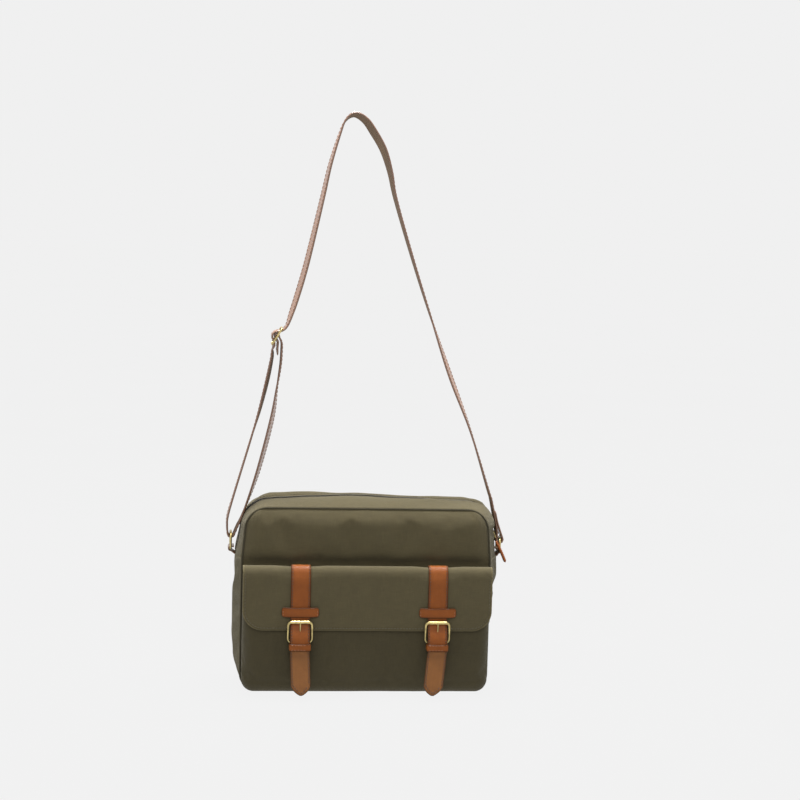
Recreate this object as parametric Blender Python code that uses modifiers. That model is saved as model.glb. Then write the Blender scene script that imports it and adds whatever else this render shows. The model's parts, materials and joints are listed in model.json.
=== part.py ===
"""A canvas messenger bag with a flap pocket, two buckle straps, a zipped top and a leather shoulder strap.

Metres, +Z up, the front faces -Y, and the origin is the middle of the base on the ground.
"""

from math import atan2, cos, pi, radians, sin, sqrt

import bmesh
import bpy
from mathutils import Euler, Matrix, Vector

# ---- driving dimensions ----
GAP = 0.0003                 # between pieces that touch
CANVAS = 0.0022
LEATHER = 0.0022
THIN_LEATHER = 0.0016

HALF_WIDTH = 0.161           # seam outline below the side seam
TOP_HALF_WIDTH = 0.158       # the sides lean in towards the top
SEAM_Z = 0.172               # where the top gusset joins the side gusset
TOP_Z = 0.2385
TOP_RADIUS = 0.030
BASE_RADIUS = 0.022
GUSSET_HALF_DEPTH = 0.0448
PANEL_Y = 0.0467             # middle of the front and back panels
PANEL_INSET = 0.0036
PIPING_RADIUS = 0.0014
SIDE_BULGE = 0.0075
DEPTH_STEPS = 8              # faces across each gusset, tape and row of teeth
BULGE_START = 0.030          # height over which the side bulge grows to its full depth
CROWN = 0.0078               # how far the top gusset swells beyond the seams
CROWN_SPREAD = 1.35          # the crown is full over the middle and drops off near the seam
FLAT_CORNER_REACH = 0.045    # the left top corner lies flat under the strap, and swells again this far off

ZIP_RISE = 0.0035            # the zip's tape beyond the seam outline
ZIP_STRIP_EDGE = 0.0068      # inner edge of each gusset strip
ZIP_DIP = 0.85               # share of the missing crown by which the zip dips where the gusset lies flat
TAPE_EDGES = (0.0034, 0.0114)
TAPE_THICKNESS = 0.0008
TEETH_EDGES = (0.0006, 0.0030)
TEETH_THICKNESS = 0.0024
ZIP_END_RISE = (0.0016, 0.0030)      # inner and outer face of the cloth tab, beyond the zip
ZIP_END_HALF_WIDTH = 0.0060
ZIP_END_HEIGHTS = (0.0010, 0.0090)   # above the side seam
SLIDER_LENGTH = 0.010
SLIDER_WIDTH = 0.009
SLIDER_UNDER_PLATE = (0.0004, 0.0016)
SLIDER_TOP_PLATE = (0.0052, 0.0066)
SLIDER_POST = 0.0003         # half the thickness of the post between the teeth
BAIL_HALF_WIDTH = 0.0012
BAIL_LOW = 0.0010            # along the slider from its lower end
BAIL_HIGH = 0.0070
BAIL_LEG = 0.0014
BAIL_TOP = 0.0095
BAIL_BAR = 0.0009
PULL_HALF_THICKNESS = 0.0017
PULL_HALF_WIDTH = 0.0045
PULL_FOOT = (0.1835, 0.1655)         # x and z of the pull's lower end

LINING_LOW = (-0.1530, -0.0415, 0.0064)
LINING_HIGH = (0.1530, 0.0415, 0.2120)
BOARD_LOW = (-0.1340, -0.0380, 0.0026)
BOARD_HIGH = (0.1340, 0.0380, 0.0054)
SLIP_LOW = (-0.0800, 0.0300, 0.0500)
SLIP_HIGH = (0.0800, 0.0404, 0.1400)
LINING_THICKNESS = 0.0010

POCKET_HALF_WIDTH = 0.157
POCKET_FRONT = 0.0750
POCKET_TOP = 0.1520
POCKET_LOW = 0.0014
POCKET_BACK = 0.0482
POCKET_CORNER = 0.014
FLAP_HALF_WIDTH = 0.1585
FLAP_CORNER = 0.026
FLAP_BOTTOM = 0.0856
FLAP_FACE = 0.0788           # outer face of the hanging flap
FLAP_CLOTH = 0.0020
FLAP_LINING = 0.0008
FLAP_LINING_INSET = 0.0020
FLAP_LEAN = 0.0012           # the flap leans in below its fold
FOLD_Y = -0.0757
FOLD_Z = 0.1640

SHELF = [(-0.0486, 0.1580), (-0.0560, 0.1610), (-0.0640, 0.1640), (-0.0700, 0.1650), (-0.0738, 0.1640)]
SHELF_THICKNESS = 0.0030     # canvas, lining and the turned-in edge

STRAP_X = {"left": -0.0855, "right": 0.0890}
STRAP_WIDTH = 0.024
KEEPER_WIDTH = 0.047
KEEPER_HEIGHT = 0.0125
KEEPER_THICKNESS = 0.0018
KEEPER_SHOULDER = 0.0150     # where the band starts to rise over the strap
KEEPER_Z = 0.1095
BUCKLE_WIDTH = 0.0330
BUCKLE_WIRE = 0.0014         # radius of the frame's wire
TOP_BAR = Vector((0, -0.0835, 0.0975))
HEEL_BAR = Vector((0, -0.0826, 0.0715))
PRONG_WIRE = 0.0008
PRONG_SLOT = (0.0785, 0.0900)
CHAPE_WIDTH = 0.0220
CHAPE_BACK = (-0.0800, 0.0440)       # y of each leg and height of its end
CHAPE_FRONT = (-0.0852, 0.0480)
CHAPE_TURN_Z = 0.0660
CHAPE_SLOT_HALF_WIDTH = 0.0020
LOOP_LOW = 0.0617
LOOP_HIGH = 0.0706
LOOP_NEAR = -0.0904
LOOP_FAR = -0.0780
TAIL_HINGE = Vector((0, -0.0876, 0.0606))
TAIL_GAP = 0.0013            # from the bend's axis to the leather on each side of it
TAIL_LENGTH = 0.0550
TAIL_TILT = 15.0
TAIL_POINT = 0.011
SNAP_Z = 0.0520
SNAP_RADIUS = 0.006
SNAP_THICKNESS = 0.0016
SOCKET_Y = -0.0762
STUD_Y = -0.0781

RING_X = {"left": -0.1735, "right": 0.1765}
RING_WIRE = 0.0015
RING_HALF_WIDTH = 0.0142
RING_LOW = 0.1775
RING_HIGH = 0.1975
RING_TAB_WIDTH = 0.0215
RING_TAB_ROOT = 0.1706
RING_TAB_PLAY = 0.0004
STRAP_TURN = 0.0042          # radius of the shoulder strap's turn round a ring
SHOULDER_WIDTH = 0.024
ADJUSTER_WIRE = 0.0012
ADJUSTER_HALF_WIDTH = 0.0148
ADJUSTER_TOP = Vector((-0.1127, 0, 0.4642))
ADJUSTER_FOOT = Vector((-0.1260, 0, 0.4413))

SIDES = {"left": -1.0, "right": 1.0}

# ---- colours ----
OLIVE = (0.088, 0.072, 0.040)
DARK_OLIVE = (0.045, 0.038, 0.022)
LINING_CLOTH = (0.20, 0.17, 0.12)
TAN = (0.24, 0.075, 0.018)
BROWN = (0.075, 0.035, 0.020)
BRASS = (0.55, 0.44, 0.18)
BLACK_BOARD = (0.03, 0.03, 0.03)


# ---- scene and materials ----
def clear_scene():
    for thing in list(bpy.data.objects):
        bpy.data.objects.remove(thing)


def collection(name):
    made = bpy.data.collections.new(name)
    bpy.context.scene.collection.children.link(made)
    return made


def finish(name, colour, roughness, metallic=0.0):
    """A Principled material of one colour."""
    made = bpy.data.materials.new(name)
    made.use_nodes = True
    shader = made.node_tree.nodes["Principled BSDF"]
    shader.inputs["Base Color"].default_value = (*colour, 1.0)
    shader.inputs["Roughness"].default_value = roughness
    shader.inputs["Metallic"].default_value = metallic
    return made


def canvas(name):
    return finish(name, OLIVE, 0.9)


def tan_leather(name):
    return finish(name, TAN, 0.45)


def brown_leather(name):
    return finish(name, BROWN, 0.5)


def brass(name):
    return finish(name, BRASS, 0.3, 1.0)


def add(name, data, look, group=None):
    """Puts an object called name, with its own material, in the bag's collection."""
    made = bpy.data.objects.new(name, data)
    data.materials.clear()
    data.materials.append(look(name))
    (group or BAG).objects.link(made)
    return made


def smooth(mesh, angle=40):
    mesh.shade_smooth()
    mesh.set_sharp_from_angle(angle=radians(angle))


def thicken(piece, thickness):
    """Solidify about the middle surface."""
    shell = piece.modifiers.new("thickness", "SOLIDIFY")
    shell.thickness = thickness
    shell.offset = 0.0
    return piece


# ---- shapes ----
def formed_sheet(name, look, columns, rows, place, thickness):
    """A grid bent by place(u, v), with u and v from 0 to 1, and given thickness."""
    grid = bmesh.new()
    bmesh.ops.create_grid(grid, x_segments=columns, y_segments=rows, size=0.5)
    for vertex in grid.verts:
        vertex.co = place(vertex.co.x + 0.5, vertex.co.y + 0.5)
    mesh = bpy.data.meshes.new(name)
    grid.to_mesh(mesh)
    grid.free()
    smooth(mesh)
    return thicken(add(name, mesh, look), thickness)


PLANES = {
    "XY": Euler((0, 0, 0)),
    "XZ": Euler((pi / 2, 0, 0)),
    "YZ": Euler((pi / 2, 0, pi / 2)),
}


def ribbon(name, look, points, width, thickness, plane, place=(0, 0, 0), rounded=0):
    """A flat strap whose middle line runs through points in one plane and whose width is square to it."""
    curve = bpy.data.curves.new(name, "CURVE")
    curve.dimensions = "2D"
    curve.fill_mode = "NONE"
    curve.extrude = width / 2
    if rounded:
        line = curve.splines.new("BEZIER")
        line.bezier_points.add(len(points) - 1)
        for knot, (a, b) in zip(line.bezier_points, points):
            knot.co = (a, b, 0)
            knot.handle_left_type = "AUTO"
            knot.handle_right_type = "AUTO"
        curve.resolution_u = rounded
    else:
        line = curve.splines.new("POLY")
        line.points.add(len(points) - 1)
        for knot, (a, b) in zip(line.points, points):
            knot.co = (a, b, 0, 1)
    piece = add(name, curve, look)
    piece.rotation_euler = PLANES[plane]
    piece.location = place
    return thicken(piece, thickness)


def plate(name, look, outline, thickness):
    """A flat filled outline in the XY plane, which its object then turns and places."""
    curve = bpy.data.curves.new(name, "CURVE")
    curve.dimensions = "2D"
    curve.fill_mode = "BOTH"
    curve.extrude = thickness / 2
    line = curve.splines.new("POLY")
    line.points.add(len(outline) - 1)
    for knot, (a, b) in zip(line.points, outline):
        knot.co = (a, b, 0, 1)
    line.use_cyclic_u = True
    return add(name, curve, look)


def wire(name, look, points, radius, closed=False, place=(0, 0, 0)):
    """A round wire through points, closed or with filled caps."""
    curve = bpy.data.curves.new(name, "CURVE")
    curve.dimensions = "3D"
    curve.bevel_depth = radius
    curve.bevel_resolution = 2
    curve.use_fill_caps = True
    line = curve.splines.new("POLY")
    line.points.add(len(points) - 1)
    for knot, point in zip(line.points, points):
        knot.co = (*point, 1)
    line.use_cyclic_u = closed
    piece = add(name, curve, look)
    piece.location = place
    return piece


def block(name, look, low, high, round_by=0.0, group=None):
    """A box between two corners, with its edges rounded by a bevel."""
    low, high = Vector(low), Vector(high)
    size = high - low
    box = bmesh.new()
    bmesh.ops.create_cube(box, size=1.0, matrix=Matrix.Diagonal((*size, 1.0)))
    mesh = bpy.data.meshes.new(name)
    box.to_mesh(mesh)
    box.free()
    piece = add(name, mesh, look, group)
    piece.location = (low + high) / 2
    if round_by:
        bevel = piece.modifiers.new("edges", "BEVEL")
        bevel.width = round_by
        bevel.segments = 2
    return piece


def open_box(name, look, low, high, open_sides, radius, thickness):
    """A thin box that lacks the faces pointing along open_sides."""
    low, high = Vector(low), Vector(high)
    size = high - low
    box = bmesh.new()
    bmesh.ops.create_cube(box, size=1.0, matrix=Matrix.Diagonal((*size, 1.0)))
    box.normal_update()
    gone = [f for f in box.faces if any(f.normal.dot(Vector(side)) > 0.9 for side in open_sides)]
    bmesh.ops.delete(box, geom=gone, context="FACES")
    mesh = bpy.data.meshes.new(name)
    box.to_mesh(mesh)
    box.free()
    piece = add(name, mesh, look)
    piece.location = (low + high) / 2
    bevel = piece.modifiers.new("corners", "BEVEL")
    bevel.width = radius
    bevel.segments = 4
    bevel.limit_method = "ANGLE"
    return thicken(piece, thickness)


def disc(name, look, centre, radius, thickness):
    """A round plate that faces the front."""
    round_plate = bmesh.new()
    bmesh.ops.create_cone(
        round_plate, cap_ends=True, segments=20, radius1=radius, radius2=radius, depth=thickness
    )
    mesh = bpy.data.meshes.new(name)
    round_plate.to_mesh(mesh)
    round_plate.free()
    smooth(mesh)
    piece = add(name, mesh, look)
    piece.rotation_euler = (pi / 2, 0, 0)
    piece.location = centre
    return piece


def as_mesh(piece):
    """Turns a curve object into a mesh object of the same name, so that it can be cut."""
    bpy.context.view_layer.update()
    graph = bpy.context.evaluated_depsgraph_get()
    mesh = bpy.data.meshes.new_from_object(piece.evaluated_get(graph))
    welded = bmesh.new()
    welded.from_mesh(mesh)
    bmesh.ops.remove_doubles(welded, verts=welded.verts, dist=0.00001)
    welded.to_mesh(mesh)
    welded.free()
    name, world = piece.name, piece.matrix_world.copy()
    bpy.data.objects.remove(piece)
    made = bpy.data.objects.new(name, mesh)
    made.matrix_world = world
    BAG.objects.link(made)
    return made


def cut(piece, low, high):
    """Takes the box between two corners out of piece."""
    cutter = block(piece.name + "_slot", brass, low, high, group=CUTTERS)
    cutter.hide_render = True
    cutter.display_type = "WIRE"
    slot = piece.modifiers.new("slot", "BOOLEAN")
    slot.operation = "DIFFERENCE"
    slot.object = cutter


# ---- outlines of the bag ----
def corner(cx, cz, radius, start, end, steps=6):
    """Stations round a corner in the XZ plane: (point, outward normal), by angle in degrees."""
    stations = []
    for i in range(steps + 1):
        angle = radians(start + (end - start) * i / steps)
        outward = Vector((cos(angle), 0, sin(angle)))
        stations.append((Vector((cx, 0, cz)) + outward * radius, outward))
    return stations


def side(x, bottom, top, steps, top_x=None):
    """Stations up one side, from bottom to top."""
    lean = (x if top_x is None else top_x) - x
    outward = Vector((1.0 if x > 0 else -1.0, 0, 0))
    return [
        (Vector((x + lean * i / steps, 0, bottom + (top - bottom) * i / steps)), outward)
        for i in range(steps + 1)
    ]


CORNER_X = TOP_HALF_WIDTH - TOP_RADIUS
CORNER_Z = TOP_Z - TOP_RADIUS
BASE_X = HALF_WIDTH - BASE_RADIUS


def lower_route():
    """Left side down, along the base and up the right side, to the side seams."""
    left = side(-HALF_WIDTH, BASE_RADIUS, SEAM_Z - GAP / 2, 5)[::-1]
    right = side(HALF_WIDTH, BASE_RADIUS, SEAM_Z - GAP / 2, 5)
    base_left = corner(-BASE_X, BASE_RADIUS, BASE_RADIUS, 180, 270)
    base_right = corner(BASE_X, BASE_RADIUS, BASE_RADIUS, 270, 360)
    return left[:-1] + base_left + base_right + right[1:]


def upper_route():
    """From the right side seam over the top to the left one."""
    right = side(HALF_WIDTH, SEAM_Z + GAP / 2, CORNER_Z, 3, TOP_HALF_WIDTH)
    left = side(-HALF_WIDTH, SEAM_Z + GAP / 2, CORNER_Z, 3, -TOP_HALF_WIDTH)[::-1]
    top_right = corner(CORNER_X, CORNER_Z, TOP_RADIUS, 0, 90)
    top_left = corner(-CORNER_X, CORNER_Z, TOP_RADIUS, 90, 180)
    middle = [(Vector((0, 0, TOP_Z)), Vector((0, 0, 1)))]
    return right[:-1] + top_right + middle + top_left + left[1:]


def swept(name, look, route, across, thickness):
    """A sheet along a route of stations. across(v, station point) gives its depth and its rise from the route."""

    def place(u, v):
        point, outward = route[round(u * (len(route) - 1))]
        depth, rise = across(v, point)
        return point + outward * rise + Vector((0, depth, 0))

    return formed_sheet(name, look, len(route) - 1, DEPTH_STEPS, place, thickness)


def panel_half_width(z, inset):
    """Half the panel's width at height z, round its corners and leaning in at the top."""
    straight = HALF_WIDTH
    if z > SEAM_Z:
        lean = min(1.0, (z - SEAM_Z) / (CORNER_Z - SEAM_Z))
        straight = HALF_WIDTH + (TOP_HALF_WIDTH - HALF_WIDTH) * lean
    if z > CORNER_Z:
        radius = TOP_RADIUS - inset
        return CORNER_X + sqrt(max(0.0, radius**2 - (z - CORNER_Z) ** 2))
    if z < BASE_RADIUS:
        radius = BASE_RADIUS - inset
        return BASE_X + sqrt(max(0.0, radius**2 - (BASE_RADIUS - z) ** 2))
    return straight - inset


def panel_heights(inset, steps=5):
    """Heights of a panel's rows: close together round the corners."""
    base = [BASE_RADIUS - (BASE_RADIUS - inset) * cos(pi / 2 * i / steps) for i in range(steps + 1)]
    top = [CORNER_Z + (TOP_RADIUS - inset) * sin(pi / 2 * i / steps) for i in range(steps + 1)]
    return base + [0.060, 0.100, 0.140, SEAM_Z] + top


# ---- the main bag ----
def build_panel(name, y):
    """The front or back face of the bag."""
    heights = panel_heights(PANEL_INSET)

    def place(u, v):
        z = heights[round(v * (len(heights) - 1))]
        return Vector(((2 * u - 1) * panel_half_width(z, PANEL_INSET), y, z))

    formed_sheet(name, canvas, 8, len(heights) - 1, place, CANVAS)


def build_piping(name, y):
    """The corded seam round a panel."""
    inset = PIPING_RADIUS + 0.0003
    heights = panel_heights(inset, 7)
    right = [(panel_half_width(z, inset), y, z) for z in heights]
    left = [(-x, depth, z) for x, depth, z in right[::-1]]
    wire(name, canvas, right + left, PIPING_RADIUS, closed=True)


def build_side_gusset():
    """One strip down the left side, across the base and up the right side, swelling at the sides."""

    def across(v, point):
        depth = (2 * v - 1) * GUSSET_HALF_DEPTH
        fullness = min(1.0, max(0.0, (point.z - BASE_RADIUS) / BULGE_START))
        return depth, SIDE_BULGE * fullness * (1 - (2 * v - 1) ** 2) - CANVAS / 2

    swept("side_gusset", canvas, lower_route(), across, CANVAS)


def crown_at(point):
    """How far the top gusset swells at a station of its route: nothing at the left corner."""
    flat = Vector((-CORNER_X - TOP_RADIUS * cos(pi / 4), 0, CORNER_Z + TOP_RADIUS * sin(pi / 4)))
    return CROWN * min(1.0, (point - flat).length / FLAT_CORNER_REACH) ** 2


def zip_rise_at(point):
    """How far the zip lies beyond the seams: it dips where the gusset lies flat."""
    return ZIP_RISE - ZIP_DIP * (CROWN - crown_at(point))


def build_top_gusset(name, facing):
    """The crowned strip between a panel and the zip. facing is -1 at the front and 1 at the back."""

    def across(v, point):
        depth = ZIP_STRIP_EDGE + (GUSSET_HALF_DEPTH - ZIP_STRIP_EDGE) * v
        rise = crown_at(point) * sin(pi / 2 * min(1.0, CROWN_SPREAD * (1 - v)))
        return facing * depth, rise - CANVAS / 2

    swept(name, canvas, upper_route(), across, CANVAS)


def build_lining():
    open_box(
        "lining",
        lambda name: finish(name, LINING_CLOTH, 0.9),
        LINING_LOW,
        LINING_HIGH,
        [(0, 0, 1)],
        POCKET_CORNER,
        LINING_THICKNESS,
    )


def build_base_board():
    block(
        "base_board",
        lambda name: finish(name, BLACK_BOARD, 0.8),
        BOARD_LOW,
        BOARD_HIGH,
        0.0006,
    )


def build_slip_pocket():
    """A flat pocket on the lining's back wall."""
    open_box(
        "slip_pocket",
        lambda name: finish(name, LINING_CLOTH, 0.9),
        SLIP_LOW,
        SLIP_HIGH,
        [(0, 0, 1), (0, 1, 0)],
        0.004,
        LINING_THICKNESS,
    )


# ---- zip ----
def build_zip_tape(name, facing):
    def across(v, point):
        inner, outer = TAPE_EDGES
        return facing * (inner + (outer - inner) * v), zip_rise_at(point)

    swept(name, canvas, upper_route(), across, TAPE_THICKNESS)


def build_zip_teeth(name, facing):
    def across(v, point):
        inner, outer = TEETH_EDGES
        return facing * (inner + (outer - inner) * v), zip_rise_at(point)

    swept(name, lambda n: finish(n, DARK_OLIVE, 0.4), upper_route(), across, TEETH_THICKNESS)


def build_zip_end(name, sign):
    """A cloth tab over the end of the zip, just above the side seam."""
    faces = sorted(sign * (HALF_WIDTH + ZIP_RISE + rise) for rise in ZIP_END_RISE)
    low, high = (SEAM_Z + height for height in ZIP_END_HEIGHTS)
    block(name, canvas, (faces[0], -ZIP_END_HALF_WIDTH, low), (faces[1], ZIP_END_HALF_WIDTH, high), 0.0004)


def build_zip_slider():
    """Two plates joined by a thin post between the teeth, with a bail on top for the link."""
    x = TOP_HALF_WIDTH
    half = SLIDER_WIDTH / 2
    low, high = CORNER_Z - SLIDER_LENGTH / 2, CORNER_Z + SLIDER_LENGTH / 2
    under_low, under_high = (x + rise for rise in SLIDER_UNDER_PLATE)
    top_low, top_high = (x + rise for rise in SLIDER_TOP_PLATE)
    slider = block("zip_slider", brass, (top_low, -half, low), (top_high, half, high))
    bail_low, bail_high = low + BAIL_LOW, low + BAIL_HIGH
    bail_root, bail_top = top_high - 2 * GAP, x + BAIL_TOP
    wide = BAIL_HALF_WIDTH
    parts = [
        ((under_low, -half, low), (under_high, half, high)),
        ((under_high - 2 * GAP, -SLIDER_POST, high - 0.0040), (top_low + 2 * GAP, SLIDER_POST, high - 0.0010)),
        ((bail_root, -wide, bail_low), (bail_top, wide, bail_low + BAIL_LEG)),
        ((bail_root, -wide, bail_high - BAIL_LEG), (bail_top, wide, bail_high)),
        ((bail_top - BAIL_BAR, -wide, bail_low), (bail_top, wide, bail_high)),
    ]
    for i, (start, end) in enumerate(parts):
        extra = block(f"zip_slider_part_{i}", brass, start, end, group=CUTTERS)
        extra.hide_render = True
        extra.display_type = "WIRE"
        joined = slider.modifiers.new(f"part_{i}", "BOOLEAN")
        joined.operation = "UNION"
        joined.object = extra
    return slider


LINK_PIVOT = Vector((TOP_HALF_WIDTH + 0.0077, 0, CORNER_Z - 0.0010))
PULL_EYE = LINK_PIVOT + Vector((0.0036, -0.0190, -0.0105))


def build_zip_link():
    """A wire loop that passes through the slider's bail and leads forward to the pull."""
    x, y, z = LINK_PIVOT
    eye = PULL_EYE
    points = [
        (x, y + 0.0022, z),
        (x, y - 0.0022, z),
        (x + 0.0026, y - 0.0066, z - 0.0030),
        (eye.x, eye.y, eye.z + 0.0022),
        (eye.x, eye.y - 0.0016, eye.z),
        (eye.x, eye.y + 0.0006, eye.z - 0.0014),
        (eye.x, eye.y + 0.0030, eye.z + 0.0012),
        (x + 0.0030, y - 0.0072, z - 0.0074),
        (x + 0.0004, y - 0.0010, z - 0.0052),
        (x, y + 0.0022, z - 0.0040),
    ]
    return wire("zip_link", brass, points, 0.0006, closed=True)


def build_zip_pull():
    """A folded leather tab that hangs from the link and leans out over the gusset."""
    top = PULL_EYE + Vector((0.0006, -0.0016, -0.0050))
    foot = Vector((PULL_FOOT[0], top.y - 0.0015, PULL_FOOT[1]))
    corner_reach = Vector((PULL_HALF_THICKNESS, PULL_HALF_WIDTH, (top - foot).length / 2))
    pull = block("zip_pull", tan_leather, -corner_reach, corner_reach, 0.0007)
    pull.location = (top + foot) / 2
    pull.rotation_euler = (0, -atan2(foot.x - top.x, top.z - foot.z), 0)
    return pull


# ---- front pocket and flap ----
def build_front_pocket():
    """The bulky pocket on the front panel: a front wall, two sides and a bottom."""
    open_box(
        "front_pocket",
        canvas,
        (-POCKET_HALF_WIDTH, -POCKET_FRONT + CANVAS / 2, POCKET_LOW),
        (POCKET_HALF_WIDTH, -POCKET_BACK, POCKET_TOP),
        [(0, 0, 1), (0, 1, 0)],
        POCKET_CORNER,
        CANVAS,
    )


def build_flap_top():
    """The shelf of the flap, from the front panel's seam to the fold."""

    def place(u, v):
        y, z = SHELF[round(v * (len(SHELF) - 1))]
        return Vector(((2 * u - 1) * FLAP_HALF_WIDTH, y, z))

    formed_sheet("flap_top", canvas, 8, len(SHELF) - 1, place, SHELF_THICKNESS)


def flap_rows(top, bottom, steps=5):
    """Heights of the flap's rows, close together round its lower corners."""
    corner_rows = [
        bottom + FLAP_CORNER * (1 - cos(pi / 2 * i / steps)) for i in range(steps + 1)
    ]
    return corner_rows + [0.125, 0.142, 0.154, top]


def build_flap_layer(name, look, face, thickness, inset):
    """One layer of the hanging flap, with rounded lower corners."""
    bottom = FLAP_BOTTOM + inset
    heights = flap_rows(FOLD_Z - 0.0018, bottom)

    def place(u, v):
        z = heights[round(v * (len(heights) - 1))]
        drop = max(0.0, FLAP_CORNER - (z - bottom))
        narrow = FLAP_CORNER - sqrt(max(0.0, FLAP_CORNER**2 - drop**2))
        lean = FLAP_LEAN * max(0.0, (z - 0.142) / 0.020)
        return Vector(((2 * u - 1) * (FLAP_HALF_WIDTH - inset - narrow), lean - face + thickness / 2, z))

    return formed_sheet(name, look, 8, len(heights) - 1, place, thickness)


# ---- buckle straps ----
def strap_front_line():
    """The strap's middle line down the flap: straight, then out over the buckle's heel bar."""
    rest = -(FLAP_FACE + LEATHER / 2 + GAP)
    return [
        (rest + 0.0012, 0.1575),
        (rest, 0.1450),
        (rest, 0.1040),
        (-0.0803, 0.0975),
        (-0.0826, 0.0915),
        (-0.0856, 0.0845),
        (-0.0872, 0.0780),
        (-0.0876, 0.0715),
        (-0.0876, TAIL_HINGE.z + TAIL_GAP),
    ]


def build_strap_top(name, x):
    """The strap's end on the shelf of the flap."""
    lift = (SHELF_THICKNESS + LEATHER) / 2 + 3 * GAP
    points = [(y - 0.0010, z + lift) for y, z in SHELF[:4]]
    ribbon(name, tan_leather, points, STRAP_WIDTH, LEATHER, "YZ", (x, 0, 0))


def build_strap(name, x):
    """The strap down the flap, with the hole that the prong goes through."""
    strap = as_mesh(ribbon(name, tan_leather, strap_front_line(), STRAP_WIDTH, LEATHER, "YZ", (x, 0, 0)))
    half = 2 * PRONG_WIRE
    cut(strap, (x - half, -0.0950, PRONG_SLOT[0]), (x + half, -0.0700, PRONG_SLOT[1]))
    return strap


def build_tail(name, x):
    """The strap's pointed free end, which leans away from the pocket."""
    half = STRAP_WIDTH / 2
    outline = [(-half, -TAIL_GAP), (half, -TAIL_GAP), (half, TAIL_POINT - TAIL_LENGTH), (half * 0.62, 0.0050 - TAIL_LENGTH)]
    outline += [(0, -TAIL_LENGTH), (-half * 0.62, 0.0050 - TAIL_LENGTH), (-half, TAIL_POINT - TAIL_LENGTH)]
    tail = plate(name, tan_leather, outline, LEATHER)
    tail.rotation_euler = (pi / 2 - radians(TAIL_TILT), 0, 0)
    tail.location = (x, TAIL_HINGE.y, TAIL_HINGE.z)
    return tail


def build_keeper_band(name, x):
    """A leather band sewn to the flap on both sides of the strap, which it bridges."""
    low = -(FLAP_FACE + GAP + KEEPER_THICKNESS / 2)
    high = -(FLAP_FACE + LEATHER + 3 * GAP + KEEPER_THICKNESS / 2)
    end, shoulder = KEEPER_WIDTH / 2, KEEPER_SHOULDER
    strap_edge = (STRAP_WIDTH + KEEPER_THICKNESS) / 2 + 0.0004
    points = [(-end, low), (-shoulder, low), (-strap_edge, high), (strap_edge, high), (shoulder, low), (end, low)]
    return ribbon(name, tan_leather, points, KEEPER_HEIGHT, KEEPER_THICKNESS, "XY", (x, 0, KEEPER_Z))


def rounded_loop(half_width, low, high, radius, steps=3):
    """Points of a rounded rectangle in (across, height)."""
    centres = [(half_width, high, 0), (-half_width, high, 90), (-half_width, low, 180), (half_width, low, 270)]
    points = []
    for across, height, start in centres:
        cx = across - radius if across > 0 else across + radius
        cz = height - radius if height == high else height + radius
        for i in range(steps + 1):
            angle = radians(start + 90 * i / steps)
            points.append((cx + radius * cos(angle), cz + radius * sin(angle)))
    return points


def build_buckle_frame(name, x):
    """A rounded wire frame whose top bar lies over the strap and whose heel bar lies behind it."""
    half = BUCKLE_WIDTH / 2 - BUCKLE_WIRE
    height = TOP_BAR.z - HEEL_BAR.z
    points = []
    for across, up in rounded_loop(half, HEEL_BAR.z, TOP_BAR.z, 0.0045):
        share = (up - HEEL_BAR.z) / height
        points.append((across, HEEL_BAR.y + (TOP_BAR.y - HEEL_BAR.y) * share, up))
    return wire(name, brass, points, BUCKLE_WIRE, closed=True, place=(x, 0, 0))


def build_prong(name, x):
    """A pin that wraps the heel bar, comes up through the strap's hole and rests on the top bar."""
    wrap = BUCKLE_WIRE + PRONG_WIRE + GAP
    points = [(0, -wrap * cos(radians(a)), wrap * sin(radians(a))) for a in range(300, 59, -20)]
    run = [(-0.0832, 0.0785), (-0.0845, 0.0845), (-0.0862, 0.0895), (-0.0864, 0.0960), (-0.0862, 0.0996)]
    points += [(0, y - HEEL_BAR.y, z - HEEL_BAR.z) for y, z in run]
    return wire(name, brass, points, PRONG_WIRE, place=(x, HEEL_BAR.y, HEEL_BAR.z))


def build_chape(name, x):
    """The leather that holds the buckle: folded round the heel bar, with a slot for the prong."""
    back, back_end = CHAPE_BACK
    front, front_end = CHAPE_FRONT
    reach = BUCKLE_WIRE + GAP + THIN_LEATHER / 2
    crown = [
        (HEEL_BAR.y + reach * cos(radians(a)), HEEL_BAR.z + reach * sin(radians(a))) for a in range(0, 181, 30)
    ]
    points = [(back, back_end), (back, CHAPE_TURN_Z)] + crown + [(front, CHAPE_TURN_Z), (front, front_end)]
    chape = as_mesh(ribbon(name, tan_leather, points, CHAPE_WIDTH, THIN_LEATHER, "YZ", (x, 0, 0)))
    half = CHAPE_SLOT_HALF_WIDTH
    cut(chape, (x - half, -0.0900, CHAPE_TURN_Z + 0.0004), (x + half, -0.0770, 0.0790))
    return chape


def build_keeper_loop(name, x):
    """A closed leather loop round the strap and the chape, below the buckle."""
    half = STRAP_WIDTH / 2 + GAP + 0.0008
    outline = [(-half, LOOP_NEAR), (half, LOOP_NEAR), (half, LOOP_FAR), (-half, LOOP_FAR)]
    loop = ribbon(name, tan_leather, outline, LOOP_HIGH - LOOP_LOW, THIN_LEATHER, "XY",
                  (x, 0, (LOOP_HIGH + LOOP_LOW) / 2))
    loop.data.splines[0].use_cyclic_u = True
    return loop


# ---- shoulder strap ----
def build_ring(name, x):
    """A rectangular wire ring in the plane of the bag's side."""
    loop = rounded_loop(RING_HALF_WIDTH, 0.0, RING_HIGH - RING_LOW, 0.0045)
    points = [(0, across, up) for across, up in loop]
    return wire(name, brass, points, RING_WIRE, closed=True, place=(x, 0, RING_LOW))


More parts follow.
